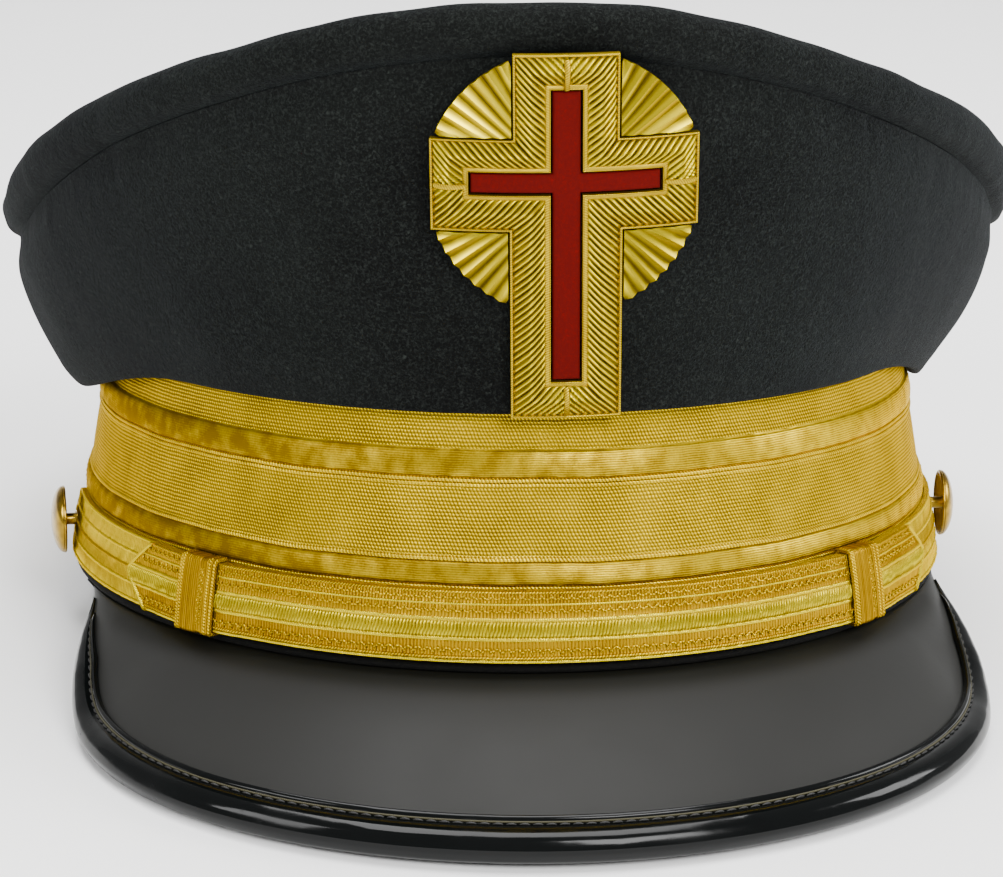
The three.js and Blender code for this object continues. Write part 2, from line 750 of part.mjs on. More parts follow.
// Bends a flat badge piece round the crown's front, about an upright axis behind it
function bendToCrown(geometry) {
  const place = geometry.attributes.position;
  for (let i = 0; i < place.count; i++) {
    const turn = (place.getX(i) + BADGE_SIDE_STEP) / BADGE_BEND;
    const reach = BADGE_BEND + place.getZ(i);
    place.setX(i, reach * Math.sin(turn) - BADGE_SIDE_STEP);
    place.setZ(i, reach * Math.cos(turn) - BADGE_BEND);
  }
  return geometry;
}

const finishes = {
  cloth: { color: 0x1c1e1c, roughness: 0.95, metalness: 0 },
  lace: { color: 0xc9a42b, roughness: 0.42, metalness: 0.7 },
  strapGold: { color: 0xdcb429, roughness: 0.36, metalness: 0.7 },
  body: { color: 0x151512, roughness: 0.8, metalness: 0 },
  patent: { color: 0x4a4a48, roughness: 0.25, metalness: 0 },
  edge: { color: 0x23272a, roughness: 0.12, metalness: 0 },
  brass: { color: 0xa8843a, roughness: 0.3, metalness: 0.9 },
  bullion: { color: 0xbda336, roughness: 0.35, metalness: 0.8 },
  velvet: { color: 0x8c0202, roughness: 0.9, metalness: 0 },
};

function piece(name, geometry, finish) {
  geometry.computeVertexNormals();
  const mesh = new THREE.Mesh(geometry, new THREE.MeshStandardMaterial(finishes[finish]));
  mesh.name = name;
  return mesh;
}

function badge() {
  const group = new THREE.Group();
  const add = (name, geometry, finish) => group.add(piece(name, bendToCrown(geometry), finish));
  add("badge_frame", badgeFrame(), "bullion");
  add("badge_inlay", badgeInlay(), "velvet");
  for (const [across, right] of Object.entries({ right: 1, left: -1 }))
    for (const [height, up] of Object.entries({ upper: 1, lower: -1 }))
      add(`badge_rays_${height}_${across}`, rayFan(right, up), "bullion");
  const { middle, lean } = badgeSeat();
  group.position.copy(middle);
  group.rotation.set(Math.PI / 2 + lean, 0, BADGE_ROLL);
  return group;
}

function sideButton(name, side) {
  const button = piece(name, buttonShape(), "brass");
  const { foot, turn } = buttonSeat(side);
  button.position.copy(foot);
  button.quaternion.copy(turn);
  return button;
}

// The angle at which the cap lies back: it turns about the back of its band until the first
// point in front of it meets the table
function restingTilt(group) {
  const pivot = bandPoint(Math.PI, 0, SOLE);
  let tilt = 0;
  group.updateMatrixWorld(true);
  group.traverse((part) => {
    if (!part.isMesh) return;
    const place = part.geometry.attributes.position;
    for (let i = 0; i < place.count; i++) {
      const point = new THREE.Vector3().fromBufferAttribute(place, i).applyMatrix4(part.matrixWorld);
      if (point.y < 0) tilt = Math.max(tilt, Math.atan2(pivot.z - point.z, pivot.y - point.y));
    }
  });
  return tilt;
}

const grid = peakGrid();
const cap = new THREE.Group();
cap.add(
  piece("crown_top", crownTop(), "cloth"),
  piece("crown_side", crownSide(), "cloth"),
  piece("band_body", bandBody(), "body"),
  piece("lace_band", laceBand(), "lace"),
  piece("peak_board", peakBoard(grid), "patent"),
  piece("peak_binding", peakBinding(grid), "edge"),
  piece("chin_strap_under", underStrap(), "strapGold"),
  piece("chin_strap_front", frontStrap(), "strapGold"),
  piece("strap_keeper_right", strapKeeper(KEEPER_RIGHT_ANGLE), "strapGold"),
  piece("strap_keeper_left", strapKeeper(KEEPER_LEFT_ANGLE), "strapGold"),
  sideButton("side_button_right", 1),
  sideButton("side_button_left", -1),
  badge(),
);

// Lay the cap back on the table and centre it over the origin
cap.rotation.x = -restingTilt(cap);
const box = new THREE.Box3().setFromObject(cap, true);
cap.position.set(-(box.min.x + box.max.x) / 2, -(box.min.y + box.max.y) / 2, -box.min.z);

const root = new THREE.Group();
root.add(cap);
export default root;
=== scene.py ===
"""Looks of a peaked fatigue cap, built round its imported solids.

Lengths are millimetres in the cap's own frame, where z = 0 is the lower edge of the gold lace and
the front faces -Y, until on_table() lays them on the table in metres.
"""
import json
import math

import bmesh
import bpy
import numpy as np
from mathutils import Matrix, Vector


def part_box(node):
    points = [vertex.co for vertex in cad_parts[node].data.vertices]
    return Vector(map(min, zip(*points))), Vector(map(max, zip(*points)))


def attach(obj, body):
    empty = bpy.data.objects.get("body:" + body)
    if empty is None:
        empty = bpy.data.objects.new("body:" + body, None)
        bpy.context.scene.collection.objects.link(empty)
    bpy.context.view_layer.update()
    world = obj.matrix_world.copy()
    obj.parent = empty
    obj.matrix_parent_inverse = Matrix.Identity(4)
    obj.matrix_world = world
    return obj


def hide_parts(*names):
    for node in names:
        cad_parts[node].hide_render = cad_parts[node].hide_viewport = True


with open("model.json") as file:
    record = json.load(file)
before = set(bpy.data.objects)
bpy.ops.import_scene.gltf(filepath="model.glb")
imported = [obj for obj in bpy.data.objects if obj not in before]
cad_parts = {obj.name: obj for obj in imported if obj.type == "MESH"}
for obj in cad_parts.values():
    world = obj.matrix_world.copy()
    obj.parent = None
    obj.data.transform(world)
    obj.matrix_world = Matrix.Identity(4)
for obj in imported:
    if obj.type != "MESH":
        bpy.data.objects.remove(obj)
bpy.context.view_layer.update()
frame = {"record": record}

CLEAR = 0.3

# Band
BAND_HALF_WIDTH = 89.5
BAND_HALF_LENGTH = 102
BAND_TAPER = 7.5
LACE_HEIGHT = 44.5
LACE_THICKNESS = 1.8
LACE_RELIEF = 0.9
BODY_WALL = 2.4
LIP_HEIGHT = 1.6
SOLE = -CLEAR - LIP_HEIGHT

# Crown
CLOTH = 2
RIM_HALF_WIDTH = 103.4
RIM_FRONT_LENGTH = 112
RIM_BACK_LENGTH = 117
RIM_SIDE_HEIGHT = 75
RIM_FRONT_RISE = 42.3
RIM_BACK_DROP = 8
RIM_LEAN = 1.7
SWEEP_POWER = 1.4
SWEEP_SOFTNESS = 0.1
STIFF_ANGLE = math.radians(50)
RIM_ROLL_HEIGHT = 9.5
RIM_ROLL_DEPTH = 6
SEAM_INSET = 0.36
TOP_DOME = 2.5
FRONT_SAG = 0.6
SIDE_SAG = 11.2
BACK_SAG = 6
FRONT_ROLL = 2.4
LEFT_ROLL = 6.4
RIGHT_ROLL = 4.2

# Peak
PEAK_REACH = 29
PEAK_DROP = 23.6
PEAK_END_REACH = -0.6
PEAK_FULLNESS = 5
PEAK_ROUNDING = 2.5
PEAK_LIFT_START = 0.66
PEAK_END_ANGLE = math.radians(75)
PEAK_TUCK = 3
PEAK_BOW = 2.6
PEAK_BOARD = 2.2
PEAK_ARCH = 0.7
BINDING_WALL = 1
BINDING_CLEAR = 0.45
BINDING_FLAP = 6.5
BINDING_START = 1.2

# Straps, keepers and buttons
STRAP_WIDTH = 12.7
STRAP_THICKNESS = 0.75
STRAP_RIDGE = 0.4
LAYER_GAP = 0.12
STRAP_HEIGHT = CLEAR + STRAP_WIDTH / 2
KEEPER_LEFT_ANGLE = math.radians(-44.5)
KEEPER_RIGHT_ANGLE = math.radians(42)
KEEPER_WIDTH = 9.4
KEEPER_WALL = 0.55
LEFT_TAB_LENGTH = 19
RIGHT_TAB_LENGTH = 25
TIP_SHARE = 0.08
BUTTON_ANGLE = math.radians(84)
BUTTON_RADIUS = 6.9
BUTTON_DOME = 3
BUTTON_BACK = 3.1
BUTTON_RIM = 0.35
SHANK_RADIUS = 1.5

# Badge
BADGE_HEIGHT = 66.7
BADGE_WIDTH = 46.4
ARM_WIDTH = 19.4
UPPER_ARM_WIDTH = 18.1
CROSSBAR_HEIGHT = 16.6
CROSSBAR_TOP = 15
BADGE_SIDE_STEP = 0.3
BAR_ROLL = math.radians(0.9)
UPRIGHT_ROLL = math.radians(1.8)
INLAY_UP = 0.5
INLAY_WIDTH = 4.8
INLAY_BAR_HEIGHT = 3.5
INLAY_MARGIN = 6.9
INLAY_DEPTH = 1.3
RAY_RADIUS = 24.1
RAYS_PER_FAN = 7
FRAME_DEPTH = 2.4
CROSS_SIDE = BADGE_WIDTH / 2
CROSS_UP = CROSSBAR_TOP + CROSSBAR_HEIGHT / 2
CROSS_DOWN = BADGE_HEIGHT - CROSS_UP
BADGE_BEND = RIM_HALF_WIDTH ** 2 / RIM_FRONT_LENGTH

# The camera, in the cap's frame: where it looks and stands, its lens on a 36 mm sensor, its roll
CAMERA_PLACE = (-58.5, -604.2, 145.7)
CAMERA_TARGET = (-0.36, -0.03, 19.71)
CAMERA_LENS = 105.4
CAMERA_ROLL = math.radians(0.156)


def smoothstep(value, low, high):
    t = np.clip((value - low) / (high - low), 0, 1)
    return t * t * (3 - 2 * t)


def mix(a, b, share):
    return a + (b - a) * share


def unit(vectors):
    return vectors / np.linalg.norm(vectors, axis=-1, keepdims=True)


def way_along(points, closed=False):
    """The way along a run of points in millimetres, from 0 at the first."""
    points = np.concatenate([points, points[:closed]])
    return np.concatenate([[0], np.linalg.norm(np.diff(points, axis=0), axis=1).cumsum()])


def round_head(steps):
    """Even angles round the whole head from the back."""
    return math.pi + np.arange(steps) * 2 * math.pi / steps


def oval(angle, half_width, half_length, out, z):
    """Points at angles round the head, 0 at the front, moved outwards along the oval's normal."""
    angle, out, z = np.broadcast_arrays(*(np.asarray(v, float) for v in (angle, out, z)))
    x, y = np.sin(angle), -np.cos(angle)
    normal = np.stack([x / half_width, y / half_length])
    normal = normal / np.hypot(*normal)
    plan = (half_width * x + normal[0] * out, half_length * y + normal[1] * out)
    return np.stack([*plan, z], -1)


def band(angle, out, z):
    """Points on the lace's outer face, which draws in towards its top, moved outwards."""
    drawn_in = BAND_TAPER * np.asarray(z, float) / LACE_HEIGHT
    return oval(angle, BAND_HALF_WIDTH - drawn_in, BAND_HALF_LENGTH - drawn_in, out, z)


def band_radius(angle):
    """How many millimetres of the band's outline one radian covers."""
    return np.hypot(BAND_HALF_WIDTH * np.cos(angle), BAND_HALF_LENGTH * np.sin(angle))


# The mount on the band's sole points straight down in the cap's frame, which gives the tilt, and
# the back of the sole is the lowest and rearmost corner of the band
sole_axis = Vector(frame["record"]["mounts"][0]["axis"])
TILT = Matrix.Rotation(math.asin(sole_axis.y), 4, "X")
band_low, band_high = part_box("band_body")
sole_back = TILT @ Vector(band(math.pi, 0, SOLE) / 1000)
SHIFT = Vector((0, band_high.y - sole_back.y, band_low.z - sole_back.z))
CAP_TO_TABLE = Matrix.Translation(SHIFT) @ TILT @ Matrix.Scale(0.001, 4)


def on_table(points):
    """Points of the cap's frame in millimetres as places on the table in metres."""
    matrix = np.array(CAP_TO_TABLE)
    return np.asarray(points, float).reshape(-1, 3) @ matrix[:3, :3].T + matrix[:3, 3]


def placed(name, data):
    """A new object in the scene, with that mesh, camera or light."""
    thing = bpy.data.objects.new(name, data)
    bpy.context.scene.collection.objects.link(thing)
    return thing


def set_camera():
    data = bpy.data.cameras.new("camera")
    data.lens = CAMERA_LENS
    data.sensor_width = 36
    data.clip_end = 20
    camera = placed("camera", data)
    eye, target = (CAP_TO_TABLE @ Vector(p) for p in (CAMERA_PLACE, CAMERA_TARGET))
    back = (eye - target).normalized()
    right = (TILT.to_3x3() @ Vector((0, 0, 1))).cross(back).normalized()
    facing = Matrix((right, back.cross(right), back)).transposed()
    turn = facing.to_4x4() @ Matrix.Rotation(CAMERA_ROLL, 4, "Z")
    camera.matrix_world = Matrix.Translation(eye) @ turn
    bpy.context.scene.camera = camera


set_camera()


CREASE = math.radians(40)


class Stock:
    """Surfaces gathered for one piece, with thread coordinates in millimetres and finishes."""

    def __init__(self):
        self.points, self.faces, self.corners, self.finishes = [], [], [], []
        self.total = 0

    def grid(self, points, u=None, v=None, finish=0, closed=False):
        """Faces over rows of points, each row a section that closes on itself. The last row leads
        back to the first, or both are filled. u runs along the rows and v round the sections,
        each with one value more where the grid closes. finish is one number, or one a column."""
        rows, columns = points.shape[:2]
        steps = rows if closed else rows - 1
        size = (steps + 1, columns + 1)
        u = np.arange(size[0]) if u is None else np.asarray(u)
        v = np.arange(size[1]) if v is None else np.asarray(v)
        u = np.broadcast_to(u[:, None] if u.ndim == 1 else u, size).astype(float)
        v = np.broadcast_to(v, size).astype(float)
        finish = np.broadcast_to(finish, columns)
        i, k = np.meshgrid(np.arange(steps), np.arange(columns), indexing="ij")
        turns = ((0, 0), (1, 0), (1, 1), (0, 1))
        faces = [self.total + (i + a) % rows * columns + (k + b) % columns for a, b in turns]
        corners = [np.stack([u[i + a, k + b], v[i + a, k + b]], -1) for a, b in turns]
        self.points.append(points.reshape(-1, 3))
        self.faces += np.stack(faces, -1).reshape(-1, 4).tolist()
        self.corners.append(np.stack(corners, 2).reshape(-1, 2))
        self.finishes.append(finish[k].ravel())
        for row in () if closed else (0, rows - 1):
            start = self.total + row * columns
            self.faces.append(list(range(start, start + columns)))
            self.corners.append(np.stack([u[row, :columns], v[row, :columns]], -1))
            self.finishes.append(finish[:1])
        self.total += rows * columns

    def cord(self, path, radius, sides=6, finish=0, squeeze=1.0, up=None):
        """A round cord along a path. squeeze flattens it along the up vector at each point."""
        along = unit(np.gradient(path, axis=0))
        up = np.array((0.0, 0.0, 1.0)) if up is None else np.asarray(up, float)
        up = unit(up - (along * up).sum(1, keepdims=True) * along)
        side = np.cross(along, up)
        turn = np.linspace(0, 2 * math.pi, sides, endpoint=False)
        radius = np.broadcast_to(radius, len(path))[:, None, None]
        ring = np.cos(turn)[:, None] * side[:, None]
        ring = ring + np.sin(turn)[:, None] * up[:, None] * squeeze
        v = np.linspace(0, 2 * math.pi * float(radius.max()), sides + 1)
        self.grid(path[:, None] + ring * radius, way_along(path), v, finish)

    def plate(self, top, bottom, shown):
        """A flat piece over the shown cells of a grid, closed below and round its edges."""
        ringed = np.pad(shown, 1)
        start, count = self.total, top.shape[0] * top.shape[1]
        number = np.arange(count).reshape(top.shape[:2])
        faces = []
        for i, k in zip(*np.nonzero(shown)):
            ring = [number[i, k], number[i + 1, k], number[i + 1, k + 1], number[i, k + 1]]
            faces.append([start + p for p in ring])
            faces.append([start + count + p for p in reversed(ring)])
            beside = ((i, k - 1), (i + 1, k), (i, k + 1), (i - 1, k))
            for edge, (row, column) in enumerate(beside):
                if not ringed[row + 1, column + 1]:
                    a, b = start + ring[edge], start + ring[(edge + 1) % 4]
                    faces.append([a, a + count, b + count, b])
        flat = np.concatenate([top.reshape(-1, 3), bottom.reshape(-1, 3)])
        used, renumbered = np.unique(np.array(faces) - start, return_inverse=True)
        self.points.append(flat[used])
        self.faces += (renumbered.reshape(-1, 4) + start).tolist()
        self.corners.append(np.zeros((len(faces) * 4, 2)))
        self.finishes.append(np.zeros(len(faces)))
        self.total += len(used)

    def made(self, name, slot, node, *materials):
        """The piece itself, in the place of the CAD node that it stands for."""
        mesh = bpy.data.meshes.new(name)
        mesh.from_pydata(on_table(np.concatenate(self.points)), [], self.faces)
        mesh.uv_layers.new(name="threads")
        mesh.uv_layers["threads"].uv.foreach_set("vector", np.concatenate(self.corners).ravel())
        for material in materials:
            mesh.materials.append(material)
        mesh.polygons.foreach_set("material_index", np.concatenate(self.finishes).astype(np.int32))
        work = bmesh.new()
        work.from_mesh(mesh)
        bmesh.ops.recalc_face_normals(work, faces=work.faces)
        work.to_mesh(mesh)
        work.free()
        mesh.polygons.foreach_set("use_smooth", np.ones(len(mesh.polygons), bool))
        mesh.set_sharp_from_angle(angle=CREASE)
        piece = placed(name, mesh)
        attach(piece, "root")
        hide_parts(node)


def fair_line(points, per_span):
    """A smooth line through control points, with that many steps between one and the next."""
    step = np.diff(points, axis=-2)
    chord = np.maximum(np.linalg.norm(step, axis=-1, keepdims=True), 1e-6) ** 0.5
    slope = step / chord
    before, after = chord[..., :-1, :], chord[..., 1:, :]
    middle = (slope[..., :-1, :] * after + slope[..., 1:, :] * before) / (before + after)
    tangent = np.concatenate([slope[..., :1, :], middle, slope[..., -1:, :]], -2)
    t = (np.arange(per_span) / per_span)[:, None]
    start, end = points[..., :-1, None, :], points[..., 1:, None, :]
    leave = (tangent[..., :-1, :] * chord)[..., None, :]
    arrive = (tangent[..., 1:, :] * chord)[..., None, :]
    span = start * (2 * t**3 - 3 * t**2 + 1) + end * (3 * t**2 - 2 * t**3)
    span = span + leave * (t**3 - 2 * t**2 + t) + arrive * (t**3 - t**2)
    body = span.reshape(*points.shape[:-2], -1, points.shape[-1])
    return np.concatenate([body, points[..., -1:, :]], -2)


def left_normals(line):
    """Unit normals to the left of a run of 2D points."""
    way = unit(np.gradient(line, axis=-2))
    return np.stack([-way[..., 1], way[..., 0]], -1)


def waver(angle, seed, waves=(7, 11, 19, 31)):
    """A gentle wandering between about -1 and 1 that closes round the head."""
    phases = np.random.default_rng(seed).uniform(0, 2 * math.pi, len(waves))
    parts = [np.sin(count * angle + phase) / (1 + 0.2 * i)
             for i, (count, phase) in enumerate(zip(waves, phases))]
    return sum(parts) / len(waves) * 1.6


# Finishes. Thread coordinates are the UV map "threads" in millimetres, u along and v across.

def feed(tree, socket, value):
    """Links a socket to another, or sets it to a value."""
    if isinstance(value, bpy.types.NodeSocket):
        tree.links.new(value, socket)
    else:
        socket.default_value = value


def add(tree, kind, values=None, **settings):
    """A node with its settings, and its sockets fed by name or number."""
    node = tree.nodes.new("ShaderNode" + kind)
    for name, value in settings.items():
        setattr(node, name, value)
    for name, value in (values or {}).items():
        feed(tree, node.inputs[name], value)
    return node


def calc(tree, operation, *values):
    return add(tree, "Math", dict(enumerate(values)), operation=operation).outputs[0]


def clamp(tree, value):
    return add(tree, "Clamp", {"Value": value}).outputs[0]


def noise(tree, place, scale, detail=2.0, **more):
    values = {"Vector": place, "Scale": scale, "Detail": detail, **more}
    return add(tree, "TexNoise", values).outputs[0]


def off_middle(tree, value):
    return calc(tree, "SUBTRACT", value, 0.5)


def ranged(tree, value, low, high, first=0.0, last=1.0, **settings):
    """A value that runs from first to last where the given one runs from low to high."""
    values = {"Value": value, "From Min": low, "From Max": high, "To Min": first, "To Max": last}
    return add(tree, "MapRange", values, **settings).outputs[0]


def blend_colour(tree, share, first, second):
    return add(tree, "Mix", {0: share, 6: first, 7: second}, data_type="RGBA").outputs[2]


BLACK, WHITE = (0, 0, 0, 1), (1, 1, 1, 1)


def new_group(name, place, inputs, outputs):
    """An empty node group with named sockets: its tree, what goes in and what comes out. It
    takes a place as a vector, colours of four values, and numbers, and gives a Color or numbers."""
    tree = bpy.data.node_groups.new(name, "ShaderNodeTree")

    def socket(label, kind, way):
        return tree.interface.new_socket(label, in_out=way, socket_type="NodeSocket" + kind)

    socket(place, "Vector", "INPUT")
    for label, default in inputs.items():
        kind = "Color" if isinstance(default, tuple) else "Float"
        socket(label, kind, "INPUT").default_value = default
    for label in outputs:
        socket(label, "Color" if label == "Color" else "Float", "OUTPUT")
    return tree, tree.nodes.new("NodeGroupInput").outputs, tree.nodes.new("NodeGroupOutput").inputs


def wave(tree, place, pitch):
    """Rises and falls between 0 and 1 once a pitch."""
    turn = calc(tree, "MULTIPLY", calc(tree, "DIVIDE", place, pitch), 2 * math.pi)
    return calc(tree, "MULTIPLY_ADD", calc(tree, "COSINE", turn), 0.5, 0.5)


def thread_weave_group():
    """Little floats of thread in slanting columns, or ribs where the rows' pitch is very long."""
    tree, given, result = new_group(
        "thread weave", "Threads",
        {"Pitch Along": 0.6, "Pitch Across": 0.6, "Slant": 0.3, "Unevenness": 0.3}, ["Height"])
    apart = add(tree, "SeparateXYZ", {0: given["Threads"]})
    drift = off_middle(tree, noise(tree, given["Threads"], 0.35))
    shift = calc(tree, "MULTIPLY", drift, given["Unevenness"])
    across = calc(tree, "ADD", apart.outputs["Y"], shift)
    slanted = calc(tree, "MULTIPLY_ADD", across, given["Slant"], apart.outputs["X"])
    along = calc(tree, "MULTIPLY_ADD", shift, 1.5, slanted)
    beads = calc(tree, "MULTIPLY_ADD", wave(tree, along, given["Pitch Along"]), 0.85, 0.15)
    rows = calc(tree, "MULTIPLY_ADD", wave(tree, across, given["Pitch Across"]), 0.8, 0.2)
    feed(tree, result["Height"], calc(tree, "MULTIPLY", beads, rows))
    return tree


def thread_tone_group():
    """Colour and roughness of metal thread: bright on its crests, deep and dull in between, where
    the dark colour is painted shade in the hollows between threads, with worn and browned patches."""
    tree, given, result = new_group(
        "thread tone", "Threads",
        {"Height": 0.5, "Bright": WHITE, "Deep": BLACK, "Patches": 0.3, "Patch Size": 9.0,
         "Smoothness": 0.3}, ["Color", "Roughness"])
    threads, patches = given["Threads"], given["Patches"]
    size = calc(tree, "DIVIDE", 1.0, given["Patch Size"])
    patch = calc(tree, "MULTIPLY_ADD", off_middle(tree, noise(tree, threads, size, 3.0)),
                 calc(tree, "MULTIPLY", patches, 3.0), 0.0)
    speck = calc(tree, "MULTIPLY", off_middle(tree, noise(tree, threads, 2.4)), patches)
    tone = clamp(tree, calc(tree, "ADD", calc(tree, "ADD", given["Height"], patch), speck))
    # Painted shade: the colour runs from Bright to Deep as the thread's height falls into the
    # hollows
    feed(tree, result["Color"], blend_colour(tree, tone, given["Deep"], given["Bright"]))
    feed(tree, result["Roughness"],
         calc(tree, "MULTIPLY_ADD", calc(tree, "SUBTRACT", 1.0, tone), 0.3, given["Smoothness"]))
    return tree


def wool_nap_group():
    """Milled wool: short matted hairs, paler flecks and broad, faint shading."""
    tree, given, result = new_group(
        "wool nap", "Place", {"Dark": BLACK, "Light": WHITE}, ["Color", "Height"])
    place = given["Place"]
    hair = noise(tree, place, 1900.0, 3.0, Roughness=0.7, Distortion=0.8)
    felt, broad = noise(tree, place, 520.0, 3.0), noise(tree, place, 30.0)
    fleck = add(tree, "TexVoronoi", {"Vector": place, "Scale": 330.0, "Randomness": 1.0})
    flecks = ranged(tree, fleck.outputs["Distance"], 0.03, 0.13, 1.0, 0.0)
    grit = ranged(tree, hair, 0.44, 0.74)
    tone = calc(tree, "MULTIPLY_ADD", calc(tree, "POWER", grit, 1.5), 1.0, 0.04)
    tone = calc(tree, "MULTIPLY_ADD", off_middle(tree, broad), 0.35, tone)
    lit = calc(tree, "MULTIPLY", flecks, calc(tree, "POWER", felt, 2.0))
    tone = clamp(tree, calc(tree, "MULTIPLY_ADD", lit, 2.2, tone))
    feed(tree, result["Color"], blend_colour(tree, tone, given["Dark"], given["Light"]))
    feed(tree, result["Height"], calc(tree, "MULTIPLY_ADD", felt, 0.8, hair))
    return tree


def fine_wear_group():
    """Hairline scratches and dull handled patches on a smooth surface, as a roughness."""
    tree, given, result = new_group(
        "fine wear", "Place", {"Smooth": 0.1, "Worn": 0.4}, ["Roughness", "Height"])
    place, smooth = given["Place"], given["Smooth"]
    stretched = add(tree, "Mapping", {"Vector": place, "Scale": (60.0, 900.0, 900.0)}).outputs[0]
    line = ranged(tree, noise(tree, stretched, 1.0), 0.6, 0.75)
    patch = ranged(tree, noise(tree, place, 35.0, 4.0), 0.42, 0.75)
    amount = clamp(tree, calc(tree, "MULTIPLY_ADD", line, 0.4, patch))
    span = calc(tree, "SUBTRACT", given["Worn"], smooth)
    feed(tree, result["Roughness"], calc(tree, "MULTIPLY_ADD", amount, span, smooth))
    feed(tree, result["Height"], noise(tree, place, 160.0, 1.0))
    return tree


WEAVE, TONE, NAP, WEAR = (
    thread_weave_group(), thread_tone_group(), wool_nap_group(), fine_wear_group())


def spaced(values):
    return {label.replace("_", " "): value for label, value in values.items()}


def new_finish(name, **settings):
    """A material with its tree, its Principled shader and its two kinds of coordinates."""
    material = bpy.data.materials.new(name)
    material.use_nodes = True
    tree = material.node_tree
    shader = next(node for node in tree.nodes if node.type == "BSDF_PRINCIPLED")
    for label, value in spaced(settings).items():
        shader.inputs[label].default_value = value
    threads = add(tree, "UVMap", uv_map="threads").outputs[0]
    place = add(tree, "TexCoord").outputs["Object"]
    return material, tree, shader, threads, place


def use_group(tree, group, **values):
    return add(tree, "Group", spaced(values), node_tree=group).outputs


def cover(tree, shader, colour, height, depth, roughness=None):
    """Feeds a shader's colour and roughness, and bumps it by a height of 0 to 1, depth in
    millimetres."""
    feed(tree, shader.inputs["Base Color"], colour)
    if roughness is not None:
        feed(tree, shader.inputs["Roughness"], roughness)
    bump = add(tree, "Bump", {"Height": height, "Distance": depth / 1000, "Strength": 1.0})
    feed(tree, shader.inputs["Normal"], bump.outputs[0])


def gold_thread(name, bright, deep, along, across, slant=0.0, depth=0.1, patches=0.3,
                patch_size=9.0, smoothness=0.3, unevenness=0.3):
    """Gold metal thread, woven with one pitch along the lace and one across it."""
    material, tree, shader, threads, _ = new_finish(
        name, Metallic=1.0, Specular_Tint=(1.0, 0.72, 0.12, 1))
    height = use_group(tree, WEAVE, Threads=threads, Pitch_Along=along, Pitch_Across=across,
                       Slant=slant, Unevenness=unevenness)["Height"]
    tone = use_group(tree, TONE, Threads=threads, Height=height, Bright=(*bright, 1),
                     Deep=(*deep, 1), Patches=patches, Patch_Size=patch_size,
                     Smoothness=smoothness)
    cover(tree, shader, tone["Color"], height, depth, tone["Roughness"])
    return material


LONG = 400.0
# In each gold thread below, the second colour is the painted shade in the hollows between threads
GRAIN = gold_thread("lace grain", (0.72, 0.5, 0.0), (0.1, 0.055, 0.0), 0.7, 0.66, 0.5, 0.16,
                    patches=0.12)
STRIPE = gold_thread("lace smooth stripe", (0.54, 0.385, 0.0), (0.16, 0.09, 0.0), LONG, 0.42,
                     depth=0.05, patches=0.5, patch_size=4.0, smoothness=0.28)
CORD = gold_thread("lace edge cord", (0.66, 0.47, 0.0), (0.16, 0.09, 0.0), 0.7, LONG, 0.6, 0.08)
STRAP_RIBS = gold_thread("strap ribbed ground", (0.46, 0.28, 0.0), (0.16, 0.075, 0.0), 0.62,
                         LONG, depth=0.06, patches=0.3, smoothness=0.34)
UNDER_RIBS = gold_thread("strap under ribs", (0.58, 0.42, 0.0), (0.2, 0.12, 0.0), 0.62, LONG,
                         depth=0.06, patches=0.3, smoothness=0.32)
STRAP_MIDDLE = gold_thread("strap bright middle", (0.5, 0.4, 0.0), (0.16, 0.1, 0.0), 0.62,
                           LONG, 0.25, 0.06, smoothness=0.28)
STRAP_LINE = gold_thread("strap bright line", (0.62, 0.49, 0.0), (0.4, 0.29, 0.0), 0.4, LONG,
                         depth=0.03, smoothness=0.26)
STRAP_CORD = gold_thread("strap edge cord", (0.54, 0.36, 0.0), (0.15, 0.08, 0.0), 0.6, LONG,
                         0.6, 0.08, smoothness=0.32)
KEEPER = gold_thread("keeper ribs", (0.36, 0.21, 0.0), (0.12, 0.055, 0.0), LONG, 0.5, depth=0.04,
                     patches=0.3, smoothness=0.38)
BULLION = gold_thread("bullion", (0.6, 0.46, 0.0), (0.035, 0.022, 0.0), 1.27, LONG, 0.0, 0.06,
                      patches=0.2, patch_size=4.0, unevenness=0.12)
BADGE_WIRE = gold_thread("badge edge wire", (0.5, 0.36, 0.01), (0.22, 0.13, 0.002), 0.45, LONG,
                         0.5, 0.04, smoothness=0.3)
RAY_LEAF = gold_thread("ray leaf", (0.54, 0.42, 0.0), (0.09, 0.058, 0.0), 1.0, LONG,
                       depth=0.01, patches=0.3, patch_size=3.0, smoothness=0.3, unevenness=0.05)


def napped_cloth(name, dark, light, depth, **settings):
    material, tree, shader, _, place = new_finish(name, **settings)
    nap = use_group(tree, NAP, Place=place, Dark=(*dark, 1), Light=(*light, 1))
    cover(tree, shader, nap["Color"], nap["Height"], depth)
    return material


def patent_leather():
    """The peak is darkened within a few millimetres of the band: painted shade for the fold under
    the band and straps.
    """
    material, tree, shader, threads, place = new_finish(
        "patent leather", Specular_IOR_Level=0.11)
    wear = use_group(tree, WEAR, Place=place, Smooth=0.4, Worn=0.5)
    from_band = add(tree, "SeparateXYZ", {0: threads}).outputs["Y"]
    # Painted shade: 0 at the band, rising to 1 about 8 mm out, where the fold's shadow ends
    clear_of_painted_shade = ranged(tree, from_band, 1.5, 8.0, interpolation_type="SMOOTHERSTEP")
    # Painted reflection: this grey stands in for the sheen of black patent leather, whose own
    # specular is kept low
    pale = blend_colour(tree, noise(tree, place, 14.0), (0.0165, 0.0165, 0.0155, 1),
                        (0.019, 0.019, 0.018, 1))
    # The near-black first colour is the painted shade in the fold under the band
    colour = blend_colour(tree, clear_of_painted_shade, (0.006, 0.006, 0.0045, 1), pale)
    cover(tree, shader, colour, wear["Height"], 0.02, wear["Roughness"])
    return material


